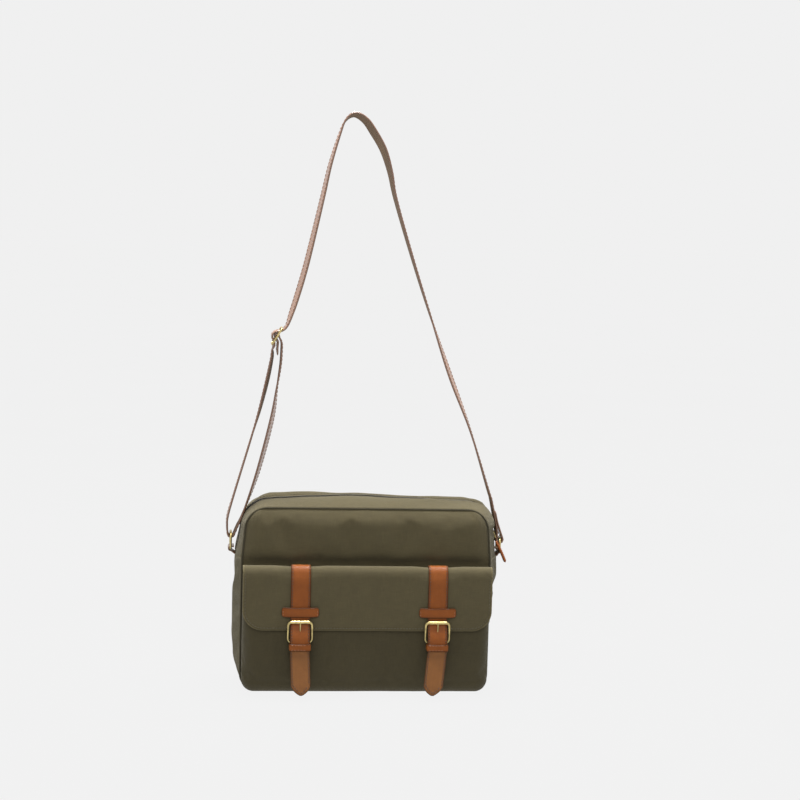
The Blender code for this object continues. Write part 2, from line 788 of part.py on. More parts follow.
def build_ring_tab(name, x, sign):
    """A leather loop round the ring's lower bar, sewn into the side seam."""
    reach = RING_WIRE + RING_TAB_PLAY + THIN_LEATHER / 2
    root = sign * RING_TAB_ROOT
    turn = [
        (x + sign * reach * cos(radians(a)), RING_LOW + reach * sin(radians(a))) for a in range(-100, 101, 25)
    ]
    points = [(root, SEAM_Z - 0.0012), (x - sign * 0.0012, RING_LOW - reach - 0.0002)] + turn
    points += [(root, RING_LOW + 0.0026)]
    return ribbon(name, brown_leather, points, RING_TAB_WIDTH, THIN_LEATHER, "XZ")


def ring_turn(side_name, start, end, step):
    """Points of the strap's turn under a ring's upper bar, by angle in degrees."""
    return [
        (RING_X[side_name] + STRAP_TURN * cos(radians(a)), RING_HIGH - 0.0010 + STRAP_TURN * sin(radians(a)))
        for a in range(start, end, step)
    ]


def build_shoulder_strap():
    """One strap: sewn round the right ring, over the top, through the adjuster, round the left ring and back."""
    along = (ADJUSTER_FOOT - ADJUSTER_TOP).normalized()
    out = Vector((along.z, 0, -along.x))
    middle = (ADJUSTER_TOP + ADJUSTER_FOOT) / 2

    def near(down, away):
        """A point by its distance down the adjuster and away from it on its outer side."""
        point = middle + along * down + out * away
        return point.x, point.z

    def round_bar(reach, start, end, step):
        """A turn round the adjuster's middle bar, by angle in degrees."""
        return [near(reach * cos(radians(a)), reach * sin(radians(a))) for a in range(start, end, step)]

    right_leg = [(0.1730, 0.2050), (0.1650, 0.2431), (0.1607, 0.2563), (0.1346, 0.3350), (0.1061, 0.4064)]
    right_leg += [(0.0777, 0.4838), (0.0522, 0.5579), (0.0290, 0.6309), (0.0213, 0.6648), (0.0116, 0.6938)]
    peak = [(-0.0027, 0.7175), (-0.0129, 0.7306), (-0.0259, 0.7371), (-0.0372, 0.7298), (-0.0447, 0.7114)]
    left_leg = [(-0.0560, 0.6720), (-0.0652, 0.6283), (-0.0828, 0.5482), (-0.0946, 0.5040)]
    left_leg += [(-0.1020, 0.4800), near(-0.0190, -0.0042)]
    through = [near(-0.0125, -0.0037), near(-0.0088, -0.0017), near(-0.0068, 0.0012)]
    through += round_bar(0.0062, 150, 29, -30)
    through += [near(0.0068, 0.0012), near(0.0088, -0.0017), near(0.0125, -0.0037), near(0.0180, -0.0040)]
    outer = [(-0.1248, 0.4260), (-0.1303, 0.3956), (-0.1390, 0.3580), (-0.1490, 0.3220), (-0.1780, 0.2230)]
    outer += [(-0.1790, 0.2080)]
    inner = [(-0.1662, 0.2060), (-0.1595, 0.2200), (-0.1245, 0.3440), (-0.1180, 0.3860), (-0.1140, 0.4158)]
    inner += [(-0.1131, 0.4340), (-0.1133, 0.4450)]
    wrap = round_bar(0.0028, 260, -21, -40) + [near(0.0052, -0.0048), (-0.1184, 0.4380), (-0.1182, 0.4285)]
    points = [(0.1716, 0.2330), (0.1792, 0.2080)] + ring_turn("right", 0, -181, -45) + right_leg + peak
    points += left_leg + through + outer + ring_turn("left", 180, 361, 45) + inner + wrap
    return ribbon("shoulder_strap", brown_leather, points, SHOULDER_WIDTH, LEATHER, "XZ", rounded=3)


def build_adjuster():
    """A tri-glide: two end bars and a middle bar between two side rails."""
    rail = ADJUSTER_TOP - ADJUSTER_FOOT
    height = rail.length
    lean = atan2(rail.x, rail.z)
    radius = ADJUSTER_WIRE
    half = ADJUSTER_HALF_WIDTH
    frame = wire(
        "strap_adjuster",
        brass,
        [(0, y, z) for y, z in rounded_loop(half, -height / 2 + radius, height / 2 - radius, 0.0040)],
        radius,
        closed=True,
    )
    frame.location = (ADJUSTER_TOP + ADJUSTER_FOOT) / 2
    frame.rotation_euler = (0, lean, 0)
    bar = wire("adjuster_bar", brass, [(0, -half, 0), (0, half, 0)], radius * 0.9)
    bar.location = frame.location
    bar.rotation_euler = (0, lean, 0)
    frame = as_mesh(frame)
    bar = as_mesh(bar)
    BAG.objects.unlink(bar)
    CUTTERS.objects.link(bar)
    bar.hide_render = True
    bar.display_type = "WIRE"
    joined = frame.modifiers.new("bar", "BOOLEAN")
    joined.operation = "UNION"
    joined.object = bar
    return frame


# ---- joints ----
def pivot(name, place, pieces, parent=None):
    """An empty on a joint's axis, which its moving pieces are parented to."""
    empty = bpy.data.objects.new(name, None)
    BAG.objects.link(empty)
    origin = Vector(place)
    empty["at"] = origin
    if parent:
        empty.parent = parent
        empty.location = origin - Vector(parent["at"])
    else:
        empty.location = origin
    for piece in pieces:
        piece.parent = empty
        piece.location = Vector(piece.location) - origin
    return empty


def build_buckle_strap(label, flap_pivot):
    """Everything of one buckle strap: what stays on the bag, what rides on the flap, and what moves on it."""
    x = STRAP_X[label]
    build_strap_top(f"strap_top_{label}", x)
    disc(f"snap_socket_{label}", brass, (x, SOCKET_Y, SNAP_Z), SNAP_RADIUS, SNAP_THICKNESS)
    on_flap = [
        build_strap(f"strap_{label}", x),
        build_keeper_band(f"keeper_band_{label}", x),
        build_buckle_frame(f"buckle_frame_{label}", x),
        build_chape(f"chape_{label}", x),
        build_keeper_loop(f"keeper_loop_{label}", x),
        disc(f"snap_stud_{label}", brass, (x, STUD_Y, SNAP_Z), SNAP_RADIUS * 0.9, SNAP_THICKNESS),
    ]
    for piece in on_flap:
        piece.parent = flap_pivot
        piece.location = Vector(piece.location) - Vector(flap_pivot["at"])
    tail = build_tail(f"tail_{label}", x)
    pivot(f"tail_pivot_{label}", (x, TAIL_HINGE.y, TAIL_HINGE.z), [tail], flap_pivot)
    prong = build_prong(f"buckle_prong_{label}", x)
    pivot(f"prong_pivot_{label}", (x, HEEL_BAR.y, HEEL_BAR.z), [prong], flap_pivot)


def build_all():
    for name, facing in (("front", -1), ("back", 1)):
        build_panel(f"{name}_panel", facing * PANEL_Y)
        build_piping(f"piping_{name}", facing * (GUSSET_HALF_DEPTH + PIPING_RADIUS + GAP))
        build_top_gusset(f"top_gusset_{name}", facing)
        build_zip_tape(f"zip_tape_{name}", facing)
        build_zip_teeth(f"zip_teeth_{name}", facing)
    build_side_gusset()
    build_lining()
    build_base_board()
    build_slip_pocket()
    build_front_pocket()
    build_flap_top()
    flap = build_flap_layer("flap", canvas, FLAP_FACE, FLAP_CLOTH, 0.0)
    backing = build_flap_layer("flap_lining", canvas, FLAP_FACE - FLAP_CLOTH - GAP, FLAP_LINING, FLAP_LINING_INSET)
    flap_pivot = pivot("flap_pivot", (0, FOLD_Y, FOLD_Z), [flap, backing])
    for label, sign in SIDES.items():
        build_zip_end(f"zip_end_{label}", sign)
        build_buckle_strap(label, flap_pivot)
        ring = build_ring(f"ring_{label}", RING_X[label])
        pivot(f"ring_pivot_{label}", (RING_X[label], 0, RING_LOW), [ring])
        build_ring_tab(f"ring_tab_{label}", RING_X[label], sign)
    slider_pivot = pivot("slider_pivot", (CORNER_X, 0, CORNER_Z), [build_zip_slider()])
    pivot("pull_pivot", LINK_PIVOT, [build_zip_link(), build_zip_pull()], slider_pivot)
    build_shoulder_strap()
    build_adjuster()


clear_scene()
BAG = collection("messenger_bag")
CUTTERS = collection("cutters")
build_all()
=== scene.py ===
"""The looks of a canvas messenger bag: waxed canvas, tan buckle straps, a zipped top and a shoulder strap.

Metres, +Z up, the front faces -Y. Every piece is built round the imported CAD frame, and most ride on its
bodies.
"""

import json
from itertools import accumulate
from math import cos, pi, radians, sin, sqrt, tau

import bpy
import numpy as np
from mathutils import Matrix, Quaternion, Vector, noise


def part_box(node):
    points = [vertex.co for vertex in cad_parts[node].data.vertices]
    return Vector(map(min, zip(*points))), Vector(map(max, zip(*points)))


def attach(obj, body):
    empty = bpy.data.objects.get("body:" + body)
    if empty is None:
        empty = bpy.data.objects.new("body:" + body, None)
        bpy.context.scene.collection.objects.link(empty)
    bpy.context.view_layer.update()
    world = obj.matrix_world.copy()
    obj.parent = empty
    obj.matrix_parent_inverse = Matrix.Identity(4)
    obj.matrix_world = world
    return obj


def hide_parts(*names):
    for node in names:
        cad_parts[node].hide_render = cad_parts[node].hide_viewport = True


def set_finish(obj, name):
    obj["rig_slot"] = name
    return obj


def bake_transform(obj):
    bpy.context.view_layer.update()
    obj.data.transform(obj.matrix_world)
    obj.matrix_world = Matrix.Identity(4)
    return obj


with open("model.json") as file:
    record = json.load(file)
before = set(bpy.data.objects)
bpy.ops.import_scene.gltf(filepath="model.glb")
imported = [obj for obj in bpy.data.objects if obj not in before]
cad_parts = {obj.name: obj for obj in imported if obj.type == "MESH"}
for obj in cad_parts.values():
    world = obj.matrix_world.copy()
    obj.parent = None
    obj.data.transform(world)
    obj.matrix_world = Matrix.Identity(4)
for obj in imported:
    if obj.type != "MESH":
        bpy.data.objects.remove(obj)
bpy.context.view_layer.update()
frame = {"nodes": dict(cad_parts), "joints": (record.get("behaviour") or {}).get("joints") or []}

# ---- places taken from the frame ----
JOINTS = {joint["name"]: joint for joint in frame["joints"]}
TAIL_HINGE = {side: Vector(JOINTS[f"tail_{side}_bend"]["pos_m"]) for side in ("left", "right")}
HEEL_BAR = Vector(JOINTS["prong_left_lift"]["pos_m"])
RING_FOOT = {side: Vector(JOINTS[f"ring_{side}_rock"]["pos_m"]) for side in ("left", "right")}
STRAP_X = {side: TAIL_HINGE[side].x for side in ("left", "right")}
SIGN = {"left": -1.0, "right": 1.0}
FACING = {"front": -1, "back": 1}
FRONT = Vector((0, -1, 0))


def middle(node):
    low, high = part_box(node)
    return (low + high) / 2


PIPING_Y = abs(middle("piping_front").y)
GUSSET_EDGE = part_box("top_gusset_back")[1].y
TOP_Z = 0.2385
SEAM_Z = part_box("side_gusset")[1].z
HALF_WIDTH = 0.161
TOP_HALF_WIDTH = 0.158
TOP_RADIUS = 0.030
BASE_RADIUS = 0.022
CORNER_X = TOP_HALF_WIDTH - TOP_RADIUS
CORNER_Z = TOP_Z - TOP_RADIUS
BASE_X = HALF_WIDTH - BASE_RADIUS
FLAP_HALF_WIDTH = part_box("flap")[1].x
FLAP_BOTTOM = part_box("flap")[0].z
FLAP_FACE = -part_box("flap")[0].y
POCKET_HALF_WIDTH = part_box("front_pocket")[1].x
POCKET_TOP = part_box("front_pocket")[1].z
POCKET_FACE = -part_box("front_pocket")[0].y
POCKET_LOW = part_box("front_pocket")[0].z + 0.0015

# ---- measures of the looks ----
CANVAS = 0.0018
LINING = 0.0009
LEATHER = 0.0022
THIN_LEATHER = 0.0016
STRAP_WIDTH = 0.0252
PANEL_INSET = 0.0013
PIPING_INSET = 0.0015
PIPING_RADIUS = 0.0009
FLAP_CORNER = 0.026
ZIP_EDGE = 0.0068             # the gusset strips are folded under this far from the middle
ZIP_RISE = 0.0035             # height of the zip above the seams
STITCH = 0.0026
STITCH_GAP = 0.0011
STITCH_INSET = 0.0022
HEAVY_THREAD = 0.00045
THREAD = 0.00036
FINE_THREAD = 0.00030
THREAD_RISE = 0.35            # height of a stitch's middle above the surface, in thread radii
SEAM_STEP = 0.0004            # spacing of a line that stitches follow
FAR = 0.05                    # a rim distance that is well away from any edge
KEEPER_Z = middle("keeper_band_left").z
# Two points about the flap's fold, one on the bag's side and one on the flap's.
BLEND_START = (0.0, -0.0660, 0.1665)
BLEND_END = (0.0, -0.0790, 0.1520)

# How far the gusset swells beyond its seams: (height, swell) up each side, (x, swell) along the top.
LEFT_SWELL = [(0.018, 0.0), (0.040, 0.0056), (0.067, 0.0082)]
LEFT_SWELL += [(0.134, 0.0074), (0.172, 0.0075), (0.2085, 0.0035)]
RIGHT_SWELL = [(0.022, 0.0), (0.060, 0.0018), (0.098, 0.0045), (0.127, 0.0085)]
RIGHT_SWELL += [(0.150, 0.0130), (0.172, 0.0128), (0.197, 0.0124), (0.2085, 0.0114)]
FRONT_TOP_SWELL = [(-0.149, 0.0014), (-0.110, 0.0060), (-0.070, 0.0082)]
FRONT_TOP_SWELL += [(-0.020, 0.0100), (0.050, 0.0090), (0.128, 0.0070)]
BACK_TOP_SWELL = [(-0.149, 0.0016), (-0.120, 0.0088), (-0.085, 0.0112)]
BACK_TOP_SWELL += [(-0.020, 0.0104), (0.050, 0.0072), (0.128, 0.0060)]
LEFT_CORNER_SWELL = 0.0012    # halfway round the top left corner
CORNER_MIDDLE = TOP_RADIUS * sin(pi / 4)    # from CORNER_X and CORNER_Z to the middle of a top corner
ZIP_DIP = 0.0026              # how much lower the zip lies where the gusset is flat
FOLD_RISE = 0.0012            # height of the gusset strips' folds above the zip
# The front panel's swell by height: pressed flat behind the pocket, tucked in above the flap, then full.
FRONT_PANEL_SWELL = [(0.150, 0.0030), (0.1655, -0.0008), (0.179, 0.0086), (0.2385, 0.0104)]
BACK_PANEL_SWELL = 0.0060
PANEL_Y = 0.0442              # a panel's face at its seams
SHELF_Z = 0.172               # the front panel lies still below this, where the flap is sewn on
PANEL_ROLL = 0.025            # how far in from its seams a panel rolls over
STRAP_PRESS = 0.0013          # how far the buckle straps press into the flap over its fold
CHANNEL_HALF_WIDTH = 0.019    # the gusset strips slope down to the zip inside this
UNDER_SEAM = 0.0004           # how far the gusset lies under its seams

# ---- camera and light ----
CAMERA_PLACE = Vector((-0.2129, -2.4236, 0.6138))
CAMERA_TARGET = Vector((0.0397, -0.0200, 0.3747))
CAMERA_ROLL = radians(1.58)
LENS = 85.0
BACKDROP = (0.871, 0.871, 0.871, 1.0)
SOFTBOXES = {
    "overhead": (Vector((0.0, 0.10, 2.3)), Vector((0.0, 0.0, 0.2)), (1.0, 0.6), 122.0),
    "front_fill": (Vector((-0.3, -2.6, 2.0)), Vector((0.0, 0.0, 0.2)), (1.4, 0.8), 24.0),
}


def build_camera():
    data = bpy.data.cameras.new("camera")
    data.lens = LENS
    data.sensor_width = 36.0
    data.clip_end = 100.0
    camera = bpy.data.objects.new("camera", data)
    camera.location = CAMERA_PLACE
    aim = (CAMERA_TARGET - CAMERA_PLACE).to_track_quat("-Z", "Y")
    camera.rotation_euler = (aim @ Quaternion((0, 0, 1), CAMERA_ROLL)).to_euler()
    bpy.context.scene.collection.objects.link(camera)
    bpy.context.scene.camera = camera


def build_light():
    """An even pale surround, a strong soft box overhead and a weaker one in front."""
    world = bpy.data.worlds.new("studio")
    world.use_nodes = True
    world.node_tree.nodes["Background"].inputs["Color"].default_value = BACKDROP
    bpy.context.scene.world = world
    for name, (place, target, size, power) in SOFTBOXES.items():
        data = bpy.data.lights.new(name, "AREA")
        data.shape = "RECTANGLE"
        data.size, data.size_y = size
        data.energy = power
        softbox = bpy.data.objects.new(name, data)
        softbox.location = place
        softbox.rotation_euler = (target - place).to_track_quat("-Z", "Y").to_euler()
        bpy.context.scene.collection.objects.link(softbox)


# ---- node materials ----
class Look:
    """A node material while it is put together."""

    def __init__(self, name):
        self.material = bpy.data.materials.new(name)
        self.material.use_nodes = True
        self.tree = self.material.node_tree
        self.shader = self.tree.nodes["Principled BSDF"]

    def plug(self, socket, value):
        """Joins a socket to a node's output, or gives it a value."""
        if isinstance(value, bpy.types.NodeSocket):
            self.tree.links.new(value, socket)
        else:
            socket.default_value = value

    def node(self, kind, inputs=None, **settings):
        made = self.tree.nodes.new("ShaderNode" + kind)
        for key, value in settings.items():
            setattr(made, key, value)
        for key, value in (inputs or {}).items():
            self.plug(made.inputs[key], value)
        return made

    def math(self, operation, a, b=0.0, clamp=False):
        return self.node("Math", {0: a, 1: b}, operation=operation, use_clamp=clamp).outputs[0]

    def cloth_place(self):
        """Place on the cloth or leather, in metres along and across it."""
        return self.node("UVMap").outputs["UV"]

    def stretched(self, place, x, y, z=1.0):
        return self.node("Mapping", {"Vector": place, "Scale": (x, y, z)}).outputs["Vector"]

    def noise(self, place, scale, detail=3.0, roughness=0.55):
        inputs = {"Vector": place, "Scale": scale, "Detail": detail, "Roughness": roughness}
        return self.node("TexNoise", inputs).outputs["Fac"]

    def mix(self, share, first, second, mode="MIX"):
        inputs = {"Fac": share, "Color1": first, "Color2": second}
        return self.node("MixRGB", inputs, blend_type=mode).outputs["Color"]

    def span(self, value, low, high, start=0.0, end=1.0):
        """Maps low..high to start..end, held at both ends."""
        inputs = {"Value": value, "From Min": low, "From Max": high, "To Min": start, "To Max": end}
        return self.node("MapRange", inputs, clamp=True).outputs["Result"]

    def rim(self):
        """Distance to the piece's nearest free edge, in metres."""
        return self.node("Attribute", attribute_name="rim").outputs["Fac"]

    def bump(self, height, distance, normal=None, strength=1.0):
        inputs = {"Height": height, "Distance": distance, "Strength": strength}
        if normal is not None:
            inputs["Normal"] = normal
        return self.node("Bump", inputs).outputs["Normal"]

    def weave(self, place, pitch):
        """A plain weave of threads at that pitch, from 0 to 1."""
        axes = self.node("SeparateXYZ", {"Vector": place})
        across = self.math("SINE", self.math("MULTIPLY", axes.outputs["X"], tau / pitch))
        along = self.math("SINE", self.math("MULTIPLY", axes.outputs["Y"], tau / pitch))
        return self.math("MULTIPLY_ADD", self.math("MULTIPLY", across, along), 0.5)

    def set(self, **inputs):
        for key, value in inputs.items():
            self.plug(self.shader.inputs[key.replace("_", " ")], value)
        return self.material


def shade(colour, factor):
    return (*(channel * factor for channel in colour), 1.0)


OLIVE = (0.0740, 0.0610, 0.0310)
TAN = (0.2050, 0.0550, 0.0068)
BROWN = (0.2500, 0.1150, 0.0580)
SUEDE = (0.2100, 0.1450, 0.0960)
BRASS = (0.6200, 0.5000, 0.2200)


def canvas_material(name, colour=OLIVE, wear=1.9, pitch=0.0009):
    """Waxed cotton canvas: plain weave, uneven threads, cloudy dye and pale worn edges."""
    look = Look(name)
    place = look.cloth_place()
    weave = look.weave(place, pitch)
    warp = look.noise(look.stretched(place, 1800.0, 60.0), 1.0, 2.0)
    weft = look.noise(look.stretched(place, 60.0, 1800.0), 1.0, 2.0)
    threads = look.math("MULTIPLY", look.math("ADD", warp, weft), 0.5)
    clouds = look.noise(place, 14.0, 4.0)
    stains = look.noise(place, 75.0, 6.0, 0.70)
    base = look.mix(look.span(clouds, 0.3, 0.7), shade(colour, 0.90), shade(colour, 1.10))
    base = look.mix(look.span(stains, 0.38, 0.72, 0.0, 0.8), base, shade(colour, 1.24))
    base = look.mix(look.span(threads, 0.35, 0.65, 0.0, 0.6), base, shade(colour, 0.70))
    base = look.mix(look.math("MULTIPLY", weave, 0.22), base, shade(colour, 1.3))
    scuffs = look.span(look.noise(place, 420.0, 3.0), 0.3, 0.6)
    worn = look.math("MULTIPLY", look.span(look.rim(), 0.0004, 0.0022, 1.0, 0.0), scuffs)
    base = look.mix(worn, base, shade(colour, wear))
    normal = look.bump(look.noise(place, 38.0, 4.0), 0.0010, strength=0.55)
    normal = look.bump(threads, 0.00022, normal)
    normal = look.bump(weave, 0.00016, normal)
    roughness = look.span(stains, 0.3, 0.7, 0.80, 0.94)
    return look.set(Base_Color=base, Roughness=roughness, Normal=normal, Specular_IOR_Level=0.16,
                    Sheen_Weight=0.12, Sheen_Roughness=0.5, Sheen_Tint=(0.96, 0.93, 0.79, 1.0))


def twill_material(name, colour, pitch=0.0011):
    """Cotton twill or herringbone tape: fine diagonal ribs."""
    look = Look(name)
    place = look.cloth_place()
    axes = look.node("SeparateXYZ", {"Vector": place})
    zigzag = look.math("ABSOLUTE", look.math("SINE", look.math("MULTIPLY", axes.outputs["X"], pi / 0.004)))
    slope = look.math("ADD", axes.outputs["Y"], look.math("MULTIPLY", zigzag, 0.0016))
    ribs = look.math("SINE", look.math("MULTIPLY", slope, tau / pitch))
    ribs = look.math("MULTIPLY_ADD", ribs, 0.5)
    clouds = look.noise(place, 25.0, 4.0)
    base = look.mix(look.span(clouds, 0.3, 0.7), shade(colour, 0.88), shade(colour, 1.1))
    base = look.mix(look.math("MULTIPLY", ribs, 0.3), base, shade(colour, 0.62))
    normal = look.bump(look.noise(place, 45.0, 3.0), 0.0008, strength=0.5)
    normal = look.bump(ribs, 0.00018, normal)
    return look.set(Base_Color=base, Roughness=look.span(clouds, 0.3, 0.7, 0.82, 0.95), Normal=normal,
                    Sheen_Weight=0.2, Specular_IOR_Level=0.2)


def leather_material(name, colour, edge=0.32, gloss=0.34, edge_width=0.00045, shine=0.20, pebble=1.0):
    """Pigmented leather: pebbled grain, burnished margins, painted edges and a soft shine."""
    look = Look(name)
    place = look.cloth_place()
    grain = look.node("TexVoronoi", {"Vector": place, "Scale": 950.0}, feature="DISTANCE_TO_EDGE")
    grain = look.span(grain.outputs["Distance"], 0.0, 0.18)
    pores = look.noise(place, 1900.0, 2.0)
    tone = look.noise(place, 42.0, 5.0, 0.6)
    streaks = look.noise(look.stretched(place, 260.0, 30.0), 1.0, 3.0)
    rim = look.rim()
    base = look.mix(look.span(tone, 0.3, 0.7), shade(colour, 0.84), shade(colour, 1.14))
    base = look.mix(look.span(streaks, 0.45, 0.75, 0.0, 0.35), base, shade(colour, 0.72))
    base = look.mix(look.span(grain, 0.0, 1.0, 0.22 * pebble, 0.0), base, shade(colour, 0.55))
    base = look.mix(look.span(rim, edge_width, 0.0030, 0.40, 0.0), base, shade(colour, 0.50))
    base = look.mix(look.span(rim, edge_width * 0.8, edge_width * 1.3, 1.0, 0.0), base, shade(colour, edge))
    normal = look.bump(tone, 0.0006, strength=0.5)
    normal = look.bump(grain, 0.00010 * pebble, normal)
    normal = look.bump(pores, 0.00005, normal)
    patches = look.span(tone, 0.3, 0.7, gloss - 0.06, gloss + 0.10)
    roughness = look.math("ADD", patches, look.span(grain, 0.0, 1.0, 0.08, 0.0))
    return look.set(Base_Color=base, Roughness=roughness, Normal=normal, Specular_IOR_Level=shine)


def thread_material(name, colour):
    """Waxed sewing thread: a fine twist."""
    look = Look(name)
    place = look.cloth_place()
    twist = look.noise(look.stretched(place, 3000.0, 9000.0), 1.0, 2.0)
    base = look.mix(look.span(twist, 0.35, 0.65), shade(colour, 0.75), shade(colour, 1.2))
    return look.set(Base_Color=base, Roughness=look.span(twist, 0.3, 0.7, 0.5, 0.7),
                    Normal=look.bump(twist, 0.0001))


def brass_material(name, colour=BRASS):
    """Antique brass: brushed, with brown tarnish in patches."""
    look = Look(name)
    place = look.node("TexCoord").outputs["Object"]
    patches = look.noise(place, 160.0, 5.0, 0.65)
    brushed = look.noise(look.stretched(place, 500.0, 500.0, 4000.0), 1.0, 2.0)
    base = look.mix(look.span(patches, 0.38, 0.66), shade(colour, 1.12), shade(colour, 0.62))
    pits = look.span(look.noise(place, 900.0, 3.0), 0.62, 0.74, 0.0, 0.6)
    base = look.mix(pits, base, (0.16, 0.12, 0.06, 1.0))
    tarnish = look.span(patches, 0.3, 0.7, 0.20, 0.40)
    roughness = look.math("ADD", tarnish, look.math("MULTIPLY", brushed, 0.06))
    return look.set(Base_Color=base, Metallic=1.0, Roughness=roughness,
                    Normal=look.bump(brushed, 0.00003, look.bump(patches, 0.0001, strength=0.4)))


def teeth_material(name):
    """Dark moulded zip teeth with rubbed tops."""
    look = Look(name)
    place = look.node("TexCoord").outputs["Object"]
    rub = look.noise(place, 700.0, 3.0)
    base = look.mix(look.span(rub, 0.45, 0.7), (0.030, 0.028, 0.022, 1.0), (0.085, 0.080, 0.062, 1.0))
    return look.set(Base_Color=base, Roughness=look.span(rub, 0.3, 0.7, 0.3, 0.5),
                    Normal=look.bump(rub, 0.00008))


def board_material(name):
    """Black fibre board for the base, with a pressed mottled skin."""
    look = Look(name)
    place = look.node("TexCoord").outputs["Object"]
    fibres = look.noise(look.stretched(place, 300.0, 900.0, 300.0), 1.0, 4.0)
    base = look.mix(look.span(fibres, 0.35, 0.65), (0.018, 0.017, 0.016, 1.0), (0.048, 0.045, 0.042, 1.0))
    return look.set(Base_Color=base, Roughness=look.span(fibres, 0.3, 0.7, 0.7, 0.9),
                    Normal=look.bump(fibres, 0.0003))


def floor_material(name):
    """A pale, faintly mottled sweep that is about as bright as the surround."""
    look = Look(name)
    place = look.node("TexCoord").outputs["Object"]
    mottle = look.noise(place, 3.0, 3.0)
    glow = look.mix(look.span(mottle, 0.3, 0.7), (0.865, 0.865, 0.865, 1.0), (0.868, 0.868, 0.868, 1.0))
    return look.set(Base_Color=(0.005, 0.005, 0.005, 1.0), Roughness=1.0, Specular_IOR_Level=0.0,
                    Emission_Color=glow, Emission_Strength=1.0)


LOOKS = {
    "canvas": canvas_material("canvas"),
    # The piping cord is real, but its colour, darker than the canvas, paints the shadow in the seam's
    # groove.
    "piping": canvas_material("piping", (0.050, 0.043, 0.025), 1.3, 0.0006),
    "lining_cloth": twill_material("lining_cloth", (0.20, 0.17, 0.115)),
    "zip_tape": twill_material("zip_tape", (0.072, 0.061, 0.034), 0.0008),
    "zip_teeth": teeth_material("zip_teeth"),
    "board": board_material("board"),
    "tan_leather": leather_material("tan_leather", TAN),
    "strap_leather": leather_material("strap_leather", BROWN, edge=0.55, gloss=0.20, shine=0.95, pebble=0.3),
    "brass": brass_material("brass"),
}
# The pocket's canvas is a darker copy of the olive canvas: painted shade on the pocket's front below the
# flap.
SHADE_DARKENED_POCKET_CANVAS = canvas_material("pocket_canvas", tuple(0.66 * channel for channel in OLIVE))
PULL_LEATHER = leather_material("pull_leather", (0.30, 0.085, 0.020), edge=0.75)
SUEDE_LEATHER = leather_material("suede_leather", SUEDE, edge=0.55, gloss=0.75, shine=0.15, pebble=0.3)
# A greyer, paler copy of the tan leather for the tails: a painted sheen, where the tilted tail catches the
# overhead light.
SHEEN_PAINTED_TAIL_LEATHER = leather_material("tail_leather", (0.168, 0.066, 0.017))
TAN_THREAD = thread_material("tan_thread", (0.26, 0.105, 0.045))
DARK_THREAD = thread_material("dark_thread", (0.060, 0.026, 0.012))
OLIVE_THREAD = thread_material("olive_thread", (0.075, 0.062, 0.036))
BROWN_THREAD = thread_material("brown_thread", (0.20, 0.105, 0.060))


# ---- mesh builders ----
def add_mesh(name, points, faces, uvs, rims, slot, material=None):
    """A smooth-shaded mesh object with a UV map in metres and its rim distances."""
    mesh = bpy.data.meshes.new(name)
    mesh.from_pydata([tuple(p) for p in points], [], faces)
    layer = mesh.uv_layers.new(name="UVMap")
    corners = np.zeros(len(mesh.loops), dtype=np.int32)
    mesh.loops.foreach_get("vertex_index", corners)
    layer.data.foreach_set("uv", np.asarray(uvs, dtype=np.float32)[corners].ravel())
    attribute = mesh.attributes.new("rim", "FLOAT", "POINT")
    attribute.data.foreach_set("value", np.asarray(rims, dtype=np.float32))
    mesh.materials.append(material or LOOKS[slot])
    mesh.shade_smooth()
    made = bpy.data.objects.new(name, mesh)
    bpy.context.scene.collection.objects.link(made)
    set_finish(made, slot)
    return made


def lengths_along(points, axis):
    """Mean distance covered so far along one axis of a grid of points."""
    steps = np.linalg.norm(np.diff(points, axis=axis), axis=2).mean(axis=1 - axis)
    return np.concatenate([[0.0], np.cumsum(steps)])


def grid_sheet(name, rows, slot, flip=False, wrap=False, rim_sides="udlr"):
    """A sheet over rows of points. wrap joins the last column to the first; rim_sides are its free edges."""
    grid = np.array([[tuple(p) for p in row] for row in rows], dtype=float)
    count, width = grid.shape[:2]
    down = lengths_along(grid, 0)
    across = lengths_along(grid, 1)
    uvs, rims = [], []
    for i in range(count):
        for j in range(width):
            uvs.append((across[j], down[i]))
            free = [FAR]
            if "u" in rim_sides:
                free.append(down[i])
            if "d" in rim_sides:
                free.append(down[-1] - down[i])
            if "l" in rim_sides and not wrap:
                free.append(across[j])
            if "r" in rim_sides and not wrap:
                free.append(across[-1] - across[j])
            rims.append(min(free))
    faces = []
    for i in range(count - 1):
        for j in range(width if wrap else width - 1):
            k = (j + 1) % width
            face = (i * width + j, (i + 1) * width + j, (i + 1) * width + k, i * width + k)
            faces.append(face[::-1] if flip else face)
    return add_mesh(name, grid.reshape(-1, 3), faces, uvs, rims, slot)


def bake(piece):
    """Applies a piece's modifiers to its mesh."""
    graph = bpy.context.evaluated_depsgraph_get()
    mesh = bpy.data.meshes.new_from_object(piece.evaluated_get(graph))
    piece.modifiers.clear()
    piece.data = mesh
    return piece


def thicken(piece, thickness, rounded=0.0):
    """Gives a sheet its thickness, inward from its outer face, and rounds its cut edges."""
    shell = piece.modifiers.new("thickness", "SOLIDIFY")
    shell.thickness = thickness
    shell.offset = -1.0
    if rounded:
        edges = piece.modifiers.new("edges", "BEVEL")
        edges.width = rounded
        edges.segments = 3
        edges.limit_method = "ANGLE"
        edges.angle_limit = radians(60)
    return bake(piece)


def grip(edge, firm, share, reach):
    """How firmly settle() holds cloth by its distance from a seam: fully within firm, then less and less."""
    return 1.0 if edge < firm else max(0.0, share - edge / reach)


